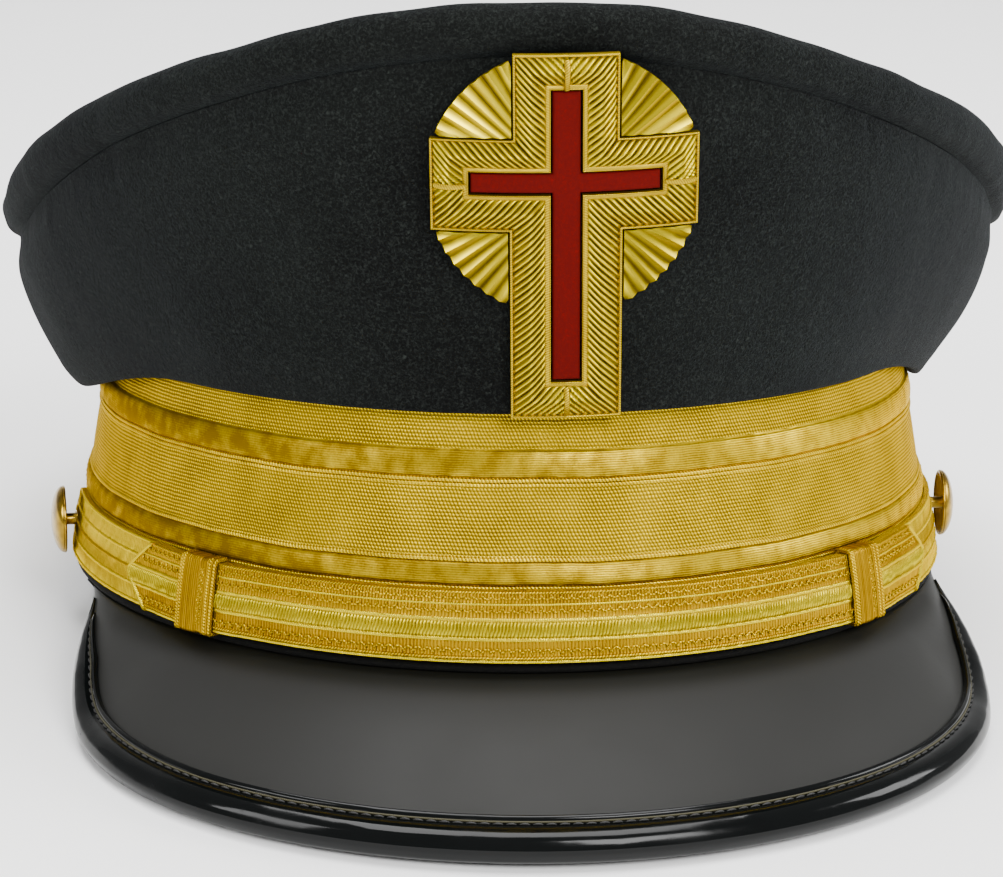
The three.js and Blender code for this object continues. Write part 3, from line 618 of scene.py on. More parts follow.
def gloss_binding():
    material, tree, shader, _, place = new_finish("gloss binding", Specular_IOR_Level=0.16)
    wear = use_group(tree, WEAR, Place=place, Smooth=0.07, Worn=0.32)
    colour = blend_colour(tree, noise(tree, place, 50.0, 3.0), (0.001, 0.0013, 0.0013, 1),
                          (0.0025, 0.003, 0.003, 1))
    cover(tree, shader, colour, wear["Height"], 0.05, wear["Roughness"])
    return material


def aged_brass():
    material, tree, shader, _, place = new_finish("gilt brass", Metallic=1.0)
    wear = use_group(tree, WEAR, Place=place, Smooth=0.2, Worn=0.45)
    tarnish = ranged(tree, noise(tree, place, 320.0, 5.0), 0.44, 0.85)
    colour = blend_colour(tree, tarnish, (0.34, 0.215, 0.02, 1), (0.07, 0.032, 0.004, 1))
    cover(tree, shader, colour, wear["Height"], 0.03, wear["Roughness"])
    return material


def sewing_thread(name, dark, light):
    material, tree, shader, threads, _ = new_finish(name, Roughness=0.6)
    height = use_group(tree, WEAVE, Threads=threads, Pitch_Along=0.4, Pitch_Across=LONG,
                       Slant=0.8, Unevenness=0.0)["Height"]
    # Painted shade: the colour runs from dark in the hollows of the thread's twist to light on its
    # crests
    cover(tree, shader, blend_colour(tree, height, (*dark, 1), (*light, 1)), height, 0.04)
    return material


WOOL = napped_cloth("black milled wool", (0.0004, 0.0006, 0.0005), (0.017, 0.0205, 0.018), 0.5,
                    Roughness=0.9, Specular_IOR_Level=0.1, Sheen_Weight=0.025,
                    Sheen_Roughness=0.3, Sheen_Tint=(0.6, 0.75, 0.9, 1))
BOARD = napped_cloth("black band cover", (0.001, 0.001, 0.001), (0.006, 0.006, 0.005), 0.08,
                     Roughness=0.8, Specular_IOR_Level=0.08)
RED = napped_cloth("red cloth", (0.07, 0.0, 0.0), (0.11, 0.0, 0.0), 0.05, Roughness=0.85,
                   Specular_IOR_Level=0.1)
PATENT, GLOSS, BRASS = patent_leather(), gloss_binding(), aged_brass()
BLACK_THREAD = sewing_thread("black sewing thread", (0.002, 0.002, 0.002), (0.012, 0.012, 0.011))
# Painted highlight: the welt's olive-gold colour stands in for the light caught along its edge
WELT_HIGHLIGHT_THREAD = sewing_thread("welt thread, painted highlight", (0.008, 0.007, 0.0015), (0.045, 0.038, 0.008))


# Crown

# The cloth where it hangs over the band: outwards as a share of the roll, down of the sag
ROLL_ROWS = np.array([(0.22, 0.5), (0.5, 0.93), (0.85, 1)])

# The side wall from the roll to the seam: up as a share of its height, out of its overhang, at the
# stiffened front and at the softer left and right sides
WALL_ROWS = np.array([
    (0.09, 0.21, 0.46, 0.32), (0.2, 0.315, 0.57, 0.44), (0.4, 0.485, 0.73, 0.67),
    (0.6, 0.66, 0.85, 0.83), (0.8, 0.83, 0.94, 0.93), (1, 1, 1, 1)])

# The rolled rim: inwards as a share of its depth, up of its height, and the top panel's rings
RIM_ROWS = np.array([(SEAM_INSET, 0), (0.08, 0.14), (0, 0.42), (0.05, 0.72), (0.24, 0.93),
                     (0.66, 1.02)])
TOP_RINGS = (0.84, 0.68, 0.5, 0.32, 0.16, 0.06, 0.012)
TOP_SLACK = 0.5

HEAD_STEPS = 540
SPAN_STEPS = 6
INNER_STEP = 3
SEAM_GAP = 0.02
SEAM_VALLEY = 2
SEAM_REACH = 4.5
PUCKER = 0.3
PUCKER_REACH = 5
CLOTH_SWELL = 0.5
FRONT_SWELL = 0.35
TOP_SWELL = 0.35
TOP_HOLE = 0.8
# Degrees from the front, and how far the rim is pressed in there
RIM_TRIM = ((0, 12, 25, 40, 52, 65, 80, 100), (0.4, 0.5, 0.9, 0.6, 0.1, -0.3, 0.5, 0.6))
# Degrees from the front, and how far the rim stands above its even sweep there
RIM_LIFT = ((0, 35, 52, 64, 78, 90, 125, 180), (0, 0.4, 1.2, 0.5, -1.2, -1.8, -1, 0))


def softness(angle):
    """0 round the stiffened front of the crown, 1 from the sides round the back."""
    return smoothstep(-np.cos(angle), -math.cos(STIFF_ANGLE), 0)


def leftness(angle):
    return (1 - np.sin(angle)) / 2


def sweep(share, soft):
    """Grows from 0 to 1 with a share, gently at first and then nearly straight."""
    grown = [np.hypot(value, soft) ** SWEEP_POWER for value in (share, 0, 1)]
    return (grown[0] - grown[1]) / (grown[2] - grown[1])


def top_height(x, y, soft=SWEEP_SOFTNESS):
    forward = -y / RIM_FRONT_LENGTH
    lean = -2 * RIM_LEAN * x / RIM_HALF_WIDTH
    front = RIM_SIDE_HEIGHT + RIM_FRONT_RISE * sweep(forward, soft) + lean * forward
    back = RIM_SIDE_HEIGHT - RIM_BACK_DROP * sweep(y / RIM_BACK_LENGTH, soft)
    return np.where(y < 0, front, back)


def rim_lift(angle):
    return np.interp(np.degrees(np.arccos(np.cos(angle))), *RIM_LIFT)


def rim_line(angle):
    """The outermost line of the rim: its reach from the cap's middle, the way there, its height."""
    length = np.where(np.cos(angle) > 0, RIM_FRONT_LENGTH, RIM_BACK_LENGTH)
    plan = np.stack([RIM_HALF_WIDTH * np.sin(angle), -length * np.cos(angle)], -1)
    reach = np.linalg.norm(plan, axis=-1)
    return reach, plan / reach[:, None], top_height(*plan.T) + rim_lift(angle)


def wall_rows(angle):
    """Control points of the side wall's face as (out, height), their foot and their way out."""
    reach, way, top = rim_line(angle)
    seam = way * (reach - SEAM_INSET * RIM_ROLL_DEPTH)[:, None]
    foot = band(angle, 0, LACE_HEIGHT)[:, :2]
    overhang = np.linalg.norm(seam - foot, axis=1)
    soft = softness(angle)
    sag = mix(FRONT_SAG, mix(SIDE_SAG, BACK_SAG, np.maximum(0, -np.cos(angle))), soft)
    roll = mix(FRONT_ROLL, mix(RIGHT_ROLL, LEFT_ROLL, leftness(angle)), soft)
    seat = LACE_HEIGHT + CLEAR
    low, high = seat - sag, top - RIM_ROLL_HEIGHT - SEAM_GAP
    rows = [(np.full_like(angle, out), np.full_like(angle, seat))
            for out in (-LACE_THICKNESS - BODY_WALL, CLEAR)]
    rows += [(CLEAR + out * roll, seat - down * sag) for out, down in ROLL_ROWS]
    for up, front, left, right in WALL_ROWS:
        out = mix(front, mix(right, left, leftness(angle)), soft)
        rows.append((overhang * out, mix(low, high, up)))
    way = (seam - foot) / overhang[:, None]
    return np.moveaxis(np.array(rows), 2, 0), foot, way


def swung(line, foot, way):
    """Lines of (out, height) for each angle, placed over their feet on the cap."""
    plan = foot[:, None] + way[:, None] * line[..., :1]
    return np.concatenate([plan, line[..., 1:]], -1)


def swell(angle, up):
    """Slow hollows and fullness of soft cloth, round the head and up the wall."""
    shapes = ((5, 2.0, 0.3), (9, -4.0, 1.9), (14, 3.0, 4.1), (23, -6.0, 2.6), (38, 5.0, 5.2))
    waves = [np.sin(count * angle + rise * up + start) / (1 + 0.35 * i)
             for i, (count, rise, start) in enumerate(shapes)]
    return sum(waves) / 2


def seam_pull(angle, away):
    """How far the seam's stitches draw the cloth in, away millimetres from the seam."""
    valley = SEAM_VALLEY * np.exp(-((away / SEAM_REACH) ** 2))
    drawn = PUCKER * waver(angle, 3, (61, 83, 107, 149)) * np.exp(-away / PUCKER_REACH)
    return valley + drawn * (1 - np.exp(-away / 1.5))


def thick_section(face, back, wall):
    """Closed sections from faces of (out, height) and their backs, a wall's thickness behind."""
    behind = back + left_normals(back) * wall
    return np.concatenate([face, behind[:, ::-1]], 1)


def crown_wall():
    angle = round_head(HEAD_STEPS)
    rows, foot, way = wall_rows(angle)
    line = fair_line(rows, SPAN_STEPS)
    bottom, top = line[:, :, 1].min(1)[:, None], line[:, -1:, 1]
    up = (line[..., 1] - bottom) / (top - bottom)
    hanging = smoothstep(line[..., 0], 0, 1.5)
    turn = angle[:, None]
    moved = CLOTH_SWELL * swell(turn, up) * hanging * mix(FRONT_SWELL, 1, softness(turn))
    moved = moved * smoothstep(up, -0.1, 0.25) - seam_pull(turn, top - line[..., 1])
    face = line + np.stack([moved, 0 * moved], -1)
    wool = Stock()
    section = thick_section(face, line[:, ::INNER_STEP], CLOTH)
    section[:, len(face[0]):, 0] -= SEAM_VALLEY * 0.5
    wool.grid(swung(section, foot, way), closed=True)
    wool.made("wool_wall", "wool_black", "crown_side", WOOL)


def crown_panel():
    angle = round_head(HEAD_STEPS)
    reach, way, top = rim_line(angle)
    rows = [(reach - inward * RIM_ROLL_DEPTH, top - RIM_ROLL_HEIGHT * (1 - up))
            for inward, up in RIM_ROWS]
    rows[0] = (rows[0][0], rows[0][1] + SEAM_GAP)
    for share in TOP_RINGS:
        out = (reach - RIM_ROLL_DEPTH) * share
        soft = mix(TOP_SLACK, SWEEP_SOFTNESS, share**3)
        height = top_height(*(way.T * out), soft) + rim_lift(angle) * share**3
        rows.append((out, height + TOP_DOME * (1 - share**2)))
    line = fair_line(np.moveaxis(np.array(rows), 2, 0), SPAN_STEPS)
    turn = angle[:, None]
    away = line[..., 1] - line[:, :1, 1]
    along = np.linalg.norm(np.diff(line, axis=1, prepend=line[:, :1]), axis=2).cumsum(1)
    pull = seam_pull(turn, np.maximum(along, 0))
    puff = TOP_SWELL * swell(turn, along / 20) * smoothstep(away, 1, 6)
    from_middle = smoothstep(line[..., 0] / reach[:, None], 0, 0.5)
    face = line + np.stack([puff * 0.6 * from_middle - pull, puff * from_middle], -1)
    trim = np.interp(np.abs(np.degrees((angle + math.pi) % (2 * math.pi) - math.pi)), *RIM_TRIM)
    near_rim = smoothstep(away, 0, 4) * smoothstep(line[..., 0] / reach[:, None], 0.5, 0.92)
    face += left_normals(line) * (trim[:, None] * near_rim)[..., None]
    section = thick_section(face, line[:, ::INNER_STEP], CLOTH)
    section[:, len(face[0]):, 0] = np.maximum(section[:, len(face[0]):, 0], TOP_HOLE)
    points = swung(section, np.zeros((HEAD_STEPS, 2)), way)
    wool = Stock()
    inside_out = np.roll(points, len(section[0]) - len(face[0]), 1)
    wool.grid(np.swapaxes(inside_out, 0, 1))
    wool.made("wool_top", "wool_black", "crown_top", WOOL)


crown_wall()
crown_panel()


# Band and lace

BAND_STEPS = 720
CORD_POINTS = 5
STRIPE_POINTS = 11
GRAIN_POINTS = 4
LACE_DRIFT = 0.12
STRIPE_UNEVEN, GRAIN_UNEVEN = 0.09, 0.02
WEAVE_ARC = 0.46
LIP_SOFT = 0.35

# How each weave stands up: its finish's place in a piece's list, its base, its crown above that
# and how many points lie across it
LACE_KINDS = {
    "grain": (0, 0.0, 0.06, GRAIN_POINTS),
    "stripe": (1, 0.12, 0.62, STRIPE_POINTS),
    "cord": (2, 0.02, 0.36, CORD_POINTS),
}

# The lace's weaves from its lower edge up, each with the height where it ends
LACE_WEAVES = (
    (0.8, "cord"), (12.0, "grain"), (12.65, "cord"), (13.3, "cord"), (17.5, "stripe"),
    (18.4, "cord"), (30.7, "grain"), (31.5, "cord"), (32.3, "cord"), (37.4, "stripe"),
    (43.8, "grain"), (LACE_HEIGHT, "cord"))


def woven_rows(weaves, kinds):
    """Across a woven strip: places, how proud each is, and the finish after each."""
    places, proud, finish, start = [], [], [], 0
    for end, kind in weaves:
        slot, base, crown, count = kinds[kind]
        t = np.sin(np.linspace(-WEAVE_ARC, WEAVE_ARC, count) * math.pi)
        t = t / math.sin(WEAVE_ARC * math.pi)
        places.append((start + end) / 2 + t * (end - start) / 2 * 0.97)
        proud.append(base + crown * np.sqrt(np.clip(1 - np.abs(t) ** 2.4, 0, 1)))
        finish += [slot] * count
        start = end
    return np.concatenate(places), np.concatenate(proud), np.array(finish)


def head_turn(steps):
    """Angles round the whole head from the back, and the way round in millimetres."""
    angle = round_head(steps)
    way = np.cumsum(band_radius(angle)) * 2 * math.pi / steps
    return angle, np.concatenate([[0], way])


def stiff_band():
    inner = -LACE_THICKNESS - CLEAR
    soft = LIP_SOFT
    rows = [(inner - BODY_WALL, LACE_HEIGHT), (inner, LACE_HEIGHT), (inner, -CLEAR),
            (-soft, -CLEAR), (0, -CLEAR - soft), (0.1, (SOLE - CLEAR) / 2), (0, SOLE + soft),
            (-soft, SOLE), (inner - BODY_WALL + soft, SOLE), (inner - BODY_WALL, SOLE + soft)]
    angle, around = head_turn(BAND_STEPS)
    body = Stock()
    out, height = np.array(rows).T
    body.grid(band(angle[:, None], out, height), around, closed=True)
    body.made("stiff_band", "band_black", "band_body", BOARD)


def gold_lace():
    angle, around = head_turn(BAND_STEPS)
    height, proud, finish = woven_rows(LACE_WEAVES, LACE_KINDS)
    ground = -LACE_RELIEF / 2
    turn = angle[:, None]
    soft = np.where(finish == 1, STRIPE_UNEVEN, GRAIN_UNEVEN)
    ripple = np.sin(turn * 37 + height) * waver(turn + height * 0.05, 5, (97, 151, 211))
    out = ground + proud + soft * ripple
    between = np.sin(height / LACE_HEIGHT * math.pi)
    drift = LACE_DRIFT * waver(angle, 6, (9, 17, 29))[:, None] * between
    face = band(turn, out, height + drift)
    back = band(turn, -LACE_THICKNESS, np.array([LACE_HEIGHT, LACE_HEIGHT / 2, 0]))
    lace = Stock()
    v = np.concatenate([height, [LACE_HEIGHT + 1, LACE_HEIGHT * 1.5, LACE_HEIGHT * 2, 0]])
    lace.grid(np.concatenate([face, back], 1), around, v, np.concatenate([finish, [0, 0, 2]]),
              closed=True)
    lace.made("gold_lace", "gold_lace", "lace_band", GRAIN, STRIPE, CORD)


stiff_band()
gold_lace()


# Peak

PEAK_STEPS = 200
PEAK_TURNS = np.sin(np.linspace(-math.pi / 2, math.pi / 2, PEAK_STEPS + 1))
PEAK_ROWS = 26
STITCH_PITCH = 2.3
STITCH_POINTS = 6
LEAST_FLAP = 0.3


def peak_reach(t):
    share = np.clip(1 - np.abs(t) ** PEAK_FULLNESS, 0, 1) ** PEAK_ROUNDING
    return mix(PEAK_END_REACH, PEAK_REACH, share)


def board_wall(t):
    """The board's thickness, thinned out where its ends run in under the band."""
    return PEAK_BOARD * mix(0.1, 1, smoothstep(peak_reach(t), PEAK_END_REACH, 5))


def peak_edge(t):
    """The upper outer edge of the peak."""
    edge = oval(t * PEAK_END_ANGLE, BAND_HALF_WIDTH, BAND_HALF_LENGTH, peak_reach(t), 0)
    fall = PEAK_DROP / (2 * BAND_HALF_LENGTH + PEAK_REACH)
    down = fall * (BAND_HALF_LENGTH - edge[:, 1]) - PEAK_ARCH * (1 - t**2)
    edge[:, 2] = SOLE - CLEAR - down * (1 - smoothstep(np.abs(t), PEAK_LIFT_START, 1))
    return edge


def peak_face():
    """The peak's upper face as a grid, and its ways outwards, down and square to the edge."""
    t = PEAK_TURNS
    tucked, start = (
        oval(t * PEAK_END_ANGLE, BAND_HALF_WIDTH, BAND_HALF_LENGTH, out, SOLE - CLEAR)
        for out in (-PEAK_TUCK, 0))
    edge = peak_edge(t)
    length = np.linalg.norm(edge - start, axis=1)[:, None]
    margin = np.clip(0.8 * peak_reach(t), LEAST_FLAP, BINDING_FLAP + 1)[:, None]
    straight = 1 - np.minimum(0.8, margin / length)
    share = np.linspace(0, 1, PEAK_ROWS)[None, :]
    s = share * straight
    face = mix(start[:, None], edge[:, None], s[..., None])
    bow = PEAK_BOW * 4 * share * (1 - 0.5 * share) * (1 - s) * length / (PEAK_REACH * 2)
    face[..., 2] += bow
    face = np.concatenate([tucked[:, None], face, edge[:, None]], 1)
    along = np.gradient(face, axis=0)
    outward = np.gradient(face, axis=1)
    outward[:, -2:] = (face[:, -1] - face[:, -2])[:, None]
    along, outward = unit(along), unit(outward)
    # Where the ends run out the board is too narrow to show its own way, so it is the band's
    radial = (start - tucked) / PEAK_TUCK
    sure = smoothstep(peak_reach(t), 1, 6)[:, None, None]
    outward = mix(radial[:, None], outward, sure)
    down = unit(np.cross(outward, along))
    down = np.where(down[..., 2:] > 0, -down, down)
    square = np.cross(along, down)
    square = np.where((square * outward).sum(2, keepdims=True) < 0, -square, square)
    return face, outward, down, square


def patent_peak(face, down):
    board = Stock()
    under = face + down * board_wall(PEAK_TURNS)[:, None, None]
    from_band = np.linalg.norm(face - face[:, 1:2], axis=2)
    behind = from_band[:, ::-1] + PEAK_REACH * 2
    v = np.concatenate([from_band, behind, from_band[:, :1]], 1)
    board.grid(np.concatenate([face, under[:, ::-1]], 1), way_along(face[:, -1]), v)
    board.made("patent_peak", "patent_black", "peak_board", PATENT)


def edge_places(edge, outward, down, square, out, below):
    """Places round the binding's section, out from the board's edge and below its upper face."""
    way = np.where(out > 0, 1.0, 0.0)
    ways = mix(outward[:, None], square[:, None], way[..., None])
    return edge[:, None] + ways * out[..., None] + down[:, None] * below[..., None]


def peak_edging(face, outward, down, square):
    """Glossy cloth rolled round the edge, with a sewn row and a welt along its inner edge. The
    welt's olive-gold colour is a painted highlight along its edge.
    """
    edge, outward, down, square = (grid[:, -1] for grid in (face, outward, down, square))
    t = PEAK_TURNS
    flap = np.clip(0.5 * peak_reach(t), LEAST_FLAP, BINDING_FLAP)[:, None]
    size = flap / BINDING_FLAP
    inner = -BINDING_CLEAR
    outer = inner - BINDING_WALL
    board = board_wall(t)[:, None]
    under = board + BINDING_CLEAR / 2
    full = mix(0.15, 1, smoothstep(peak_reach(t), PEAK_END_REACH, 12))[:, None]
    fold = (BINDING_CLEAR + BINDING_WALL) * full
    turn = np.linspace(-math.pi / 2, math.pi / 2, 15)[1:-1]
    middle = board / 2
    depth = middle - outer
    # Shares of the flap inwards from the edge, and how far the roll stands above the board's face
    top = np.array([(1, -0.2), (1, 0.5), (0.97, 0.85), (0.9, 1), (0.83, 0.85), (0.79, 0.45),
                    (0.74, 0.35), (0.69, 0.45), (0.62, 0.95), (0.5, 1.4), (0.36, 1.65),
                    (0.2, 1.7), (0.06, 1.45)])
    swellings = 1 + 0.05 * waver(t * 6, 8, (9, 17, 31, 43))[:, None]
    out = [-flap * top[:, 0], fold * np.cos(turn),
           -flap * np.array([0, 0.5, 1, 1]), full * np.array([0, BINDING_CLEAR, BINDING_CLEAR]),
           -flap * 0.5]
    below = [inner - top[:, 1] * size * swellings,
             middle + depth * np.where(turn < 0, 1, 0.84) * np.sin(turn) * mix(0.6, 1, full),
             (under + BINDING_WALL * 0.6) * np.ones((1, 3)), under,
             under, under - 0.1, np.full((len(t), 2), inner)]
    out, below = np.concatenate(out, 1), np.concatenate(below, 1)
    roll = Stock()
    places = edge_places(edge, outward, down, square, out, below)
    clear = peak_reach(t) > BINDING_START
    roll.grid(places[clear], way_along(edge)[clear])
    shown = flap[:, 0] > 0.35 * BINDING_FLAP
    narrow = size[shown, 0]

    def line(share, height):
        """A line along the binding, a share of the flap inwards and a height above the board."""
        at = edge_places(edge, outward, down, square, -flap * share, inner - height * size)
        return at[shown, 0], -down[shown]

    # The welt cord is coloured olive-gold as a painted highlight along its edge
    welt, up = line(0.785, 0.55)
    roll.cord(welt, 0.2 * narrow, 6, 2, up=up)
    seam, up = line(0.72, 0.42)
    reach = way_along(seam)
    for start in np.arange(0, reach[-1] - STITCH_PITCH, STITCH_PITCH):
        at = start + STITCH_PITCH * np.linspace(0.08, 0.82, STITCH_POINTS)
        path = np.stack([np.interp(at, reach, column) for column in seam.T], 1)
        rise = np.stack([np.interp(at, reach, column) for column in up.T], 1)
        thick = np.interp(at, reach, narrow)
        arch = np.sin(np.linspace(0, math.pi, STITCH_POINTS))
        roll.cord(path + rise * (arch * 0.25)[:, None], (0.1 + 0.14 * arch) * thick, 6, 1, up=rise)
    roll.made("peak_edging", "binding_black", "peak_binding", GLOSS, BLACK_THREAD, WELT_HIGHLIGHT_THREAD)


peak_grid = peak_face()
patent_peak(peak_grid[0], peak_grid[2])
peak_edging(*peak_grid)


# Straps, keepers and buttons

RIB_PITCH = 0.62
RIB_STEPS = 5
SCALLOP_PITCH = 1.75
SCALLOP_THREAD = 0.2
TAB_POINT = 7
EDGE_CORD = 0.5
STRAP_UNEVEN = 0.05

# As LACE_KINDS, for the straps: ribbed ground, bright middle, bright line and edge cord
STRAP_KINDS = {
    "ribs": (0, 0.0, 0.0, 5),
    "middle": (1, 0.1, 0.24, 9),
    "line": (2, 0.08, 0.2, 5),
    "cord": (3, 0.0, 0.34, 5),
}
RIB_RELIEF = np.array([0.07, 0.09, 0.0, 0.0])

# The strap's weaves from its upper edge down, each with the distance where it ends
STRAP_WEAVES = (
    (0.5, "cord"), (2.1, "ribs"), (2.5, "line"), (4.7, "ribs"), (5.35, "line"), (8.2, "middle"),
    (8.85, "line"), (11.5, "ribs"), (12.1, "cord"), (STRAP_WIDTH, "line"))
UNDER_WEAVES = (
    (0.6, "line"), (3.2, "ribs"), (3.8, "line"), (6.1, "ribs"), (6.6, "cord"), (8.9, "ribs"),
    (9.5, "line"), (12.0, "ribs"), (STRAP_WIDTH, "line"))
SCALLOP_ROWS = ((0.7, 0.7), (2.6, 1.1), (11.4, -1.2))


def keeper_lift(angle):
    """How far the straps are lifted off the lace where a keeper's back passes under them."""
    keeper = np.where(angle < 0, KEEPER_LEFT_ANGLE, KEEPER_RIGHT_ANGLE)
    away = np.abs(angle - keeper) * band_radius(keeper)
    held = KEEPER_WIDTH / 2 + 1
    return (KEEPER_WALL + LAYER_GAP) * (1 - smoothstep(away, held, held + KEEPER_WIDTH))


def even_angles(first, last, step):
    """Angles with even steps along the band between two angles, and their way in millimetres."""
    fine = np.linspace(first, last, 2000)
    way = np.concatenate([[0], np.cumsum(band_radius((fine[1:] + fine[:-1]) / 2) * np.diff(fine))])
    even = np.linspace(0, way[-1], int(way[-1] / step) + 1)
    return np.interp(even, way, fine), even


def ridge(share):
    """How far a strap's face stands up between its edges, at a share of its half width."""
    return STRAP_RIDGE * 0.5 * (1 - share**2)


def ribbon(stock, weaves, angle, along, half, out, cut):
    """The woven body of a strap, its ribs raised across it. Where the strap narrows, its weave
    is cut off along the edge or drawn in with it."""
    from_top, proud, finish = woven_rows(weaves, STRAP_KINDS)
    turn, half, out = angle[:, None], half[:, None], out[:, None]
    ribs = RIB_RELIEF[finish] * np.cos(2 * math.pi * along[:, None] / RIB_PITCH + from_top * 0.5)
    uneven = STRAP_UNEVEN * waver(turn * 3 + from_top * 0.03, 12, (41, 67, 103))
    share = 1 - from_top / STRAP_WIDTH * 2
    across = share * half
    if cut:
        across = np.clip(STRAP_WIDTH / 2 - from_top, -half, half)
        share = across / STRAP_WIDTH * 2
    thick = STRAP_THICKNESS + ridge(share) + proud + ribs + uneven
    face = band(turn, out + thick, STRAP_HEIGHT + across)
    back = band(turn, out, STRAP_HEIGHT + half * np.array([-1, -0.5, 0, 0.5, 1]))
    v = np.concatenate([from_top, STRAP_WIDTH + np.arange(5) * 3.0, [0]])
    stock.grid(np.concatenate([face, back], 1), along, v, np.concatenate([finish, [3] * 5]))


def front_strap():
    """Ribbed lace with looped edging and two bright lines, bound round its pointed tabs."""
    tabs = [(KEEPER_WIDTH / 2 + length) / band_radius(keeper) for keeper, length in
            ((KEEPER_LEFT_ANGLE, LEFT_TAB_LENGTH), (KEEPER_RIGHT_ANGLE, RIGHT_TAB_LENGTH))]
    left, right = KEEPER_LEFT_ANGLE - tabs[0], KEEPER_RIGHT_ANGLE + tabs[1]
    point = TAB_POINT / band_radius(KEEPER_LEFT_ANGLE)

    def half_width(angle):
        from_tip = np.clip(np.minimum(angle - left, right - angle) / point, 0, 1)
        return STRAP_WIDTH / 2 * mix(TIP_SHARE, 1, from_tip ** 0.85)

    def lift(angle):
        return 2 * LAYER_GAP + STRAP_THICKNESS + keeper_lift(angle)

    strap = Stock()
    angle, along = even_angles(left, right, RIB_PITCH / RIB_STEPS)
    ribbon(strap, STRAP_WEAVES, angle, along, half_width(angle), lift(angle), cut=True)
    for start, end in ((left, left + point), (right, right - point)):
        angle = np.linspace(start, end + (end - start) * 0.1, 40)
        for side in (-1, 1):
            rim = side * (half_width(angle) - EDGE_CORD * 0.6)
            path = band(angle, lift(angle) + STRAP_THICKNESS + 0.12, STRAP_HEIGHT + rim)
            strap.cord(path, EDGE_CORD, 8, 2)
    angle, along = even_angles(left + point * 0.7, right - point * 0.7, SCALLOP_PITCH / 10)
    loop = np.abs(np.sin(math.pi * along / SCALLOP_PITCH)) ** 0.45
    edge = half_width(angle) - EDGE_CORD
    for start, depth in SCALLOP_ROWS:
        across = np.clip(STRAP_WIDTH / 2 - start - depth * loop, -edge, edge)
        proud = STRAP_THICKNESS + ridge(across / STRAP_WIDTH * 2) + 0.1 + 0.1 * loop
        path = band(angle, lift(angle) + proud, STRAP_HEIGHT + across)
        strap.cord(path, SCALLOP_THREAD, 6, 3)
    strap.made("front_strap", "gold_strap", "chin_strap_front",
               STRAP_RIBS, STRAP_MIDDLE, STRAP_LINE, STRAP_CORD)


def under_strap():
    """The layer below, with ends that are rounded past the buttons."""
    half = STRAP_WIDTH / 2
    rounding = half / float(band_radius(BUTTON_ANGLE))
    reach = BUTTON_ANGLE + rounding * 0.995
    angle, along = even_angles(-reach, reach, RIB_PITCH / 3)
    past = np.clip((np.abs(angle) - BUTTON_ANGLE) / rounding, 0, 1)
    strap = Stock()
    width = half * np.sqrt(1 - past**2)
    ribbon(strap, UNDER_WEAVES, angle, along, width, LAYER_GAP + keeper_lift(angle), cut=False)
    strap.made("under_strap", "gold_strap", "chin_strap_under",
               UNDER_RIBS, STRAP_MIDDLE, STRAP_LINE, STRAP_CORD)


KEEPER_KINDS = {
    "cord": (1, 0.0, 0.18, 7),
    "rib": (0, 0.0, 0.14, 5),
    "chain": (0, -0.08, 0.0, 3),
}
KEEPER_WEAVES = (
    (0.6, "cord"), (1.2, "cord"), (1.9, "rib"), (2.6, "rib"), (3.3, "rib"), (4.0, "rib"),
    (4.7, "rib"), (5.4, "rib"), (6.8, "chain"), (7.6, "rib"), (8.2, "cord"), (8.8, "rib"),
    (KEEPER_WIDTH, "cord"))
CHAIN_ACROSS = 6.1
CHAIN_PITCH = 1.5
CHAIN_THREAD = 0.15
KEEPER_BULGE = 0.25
KEEPER_BOW = 0.1


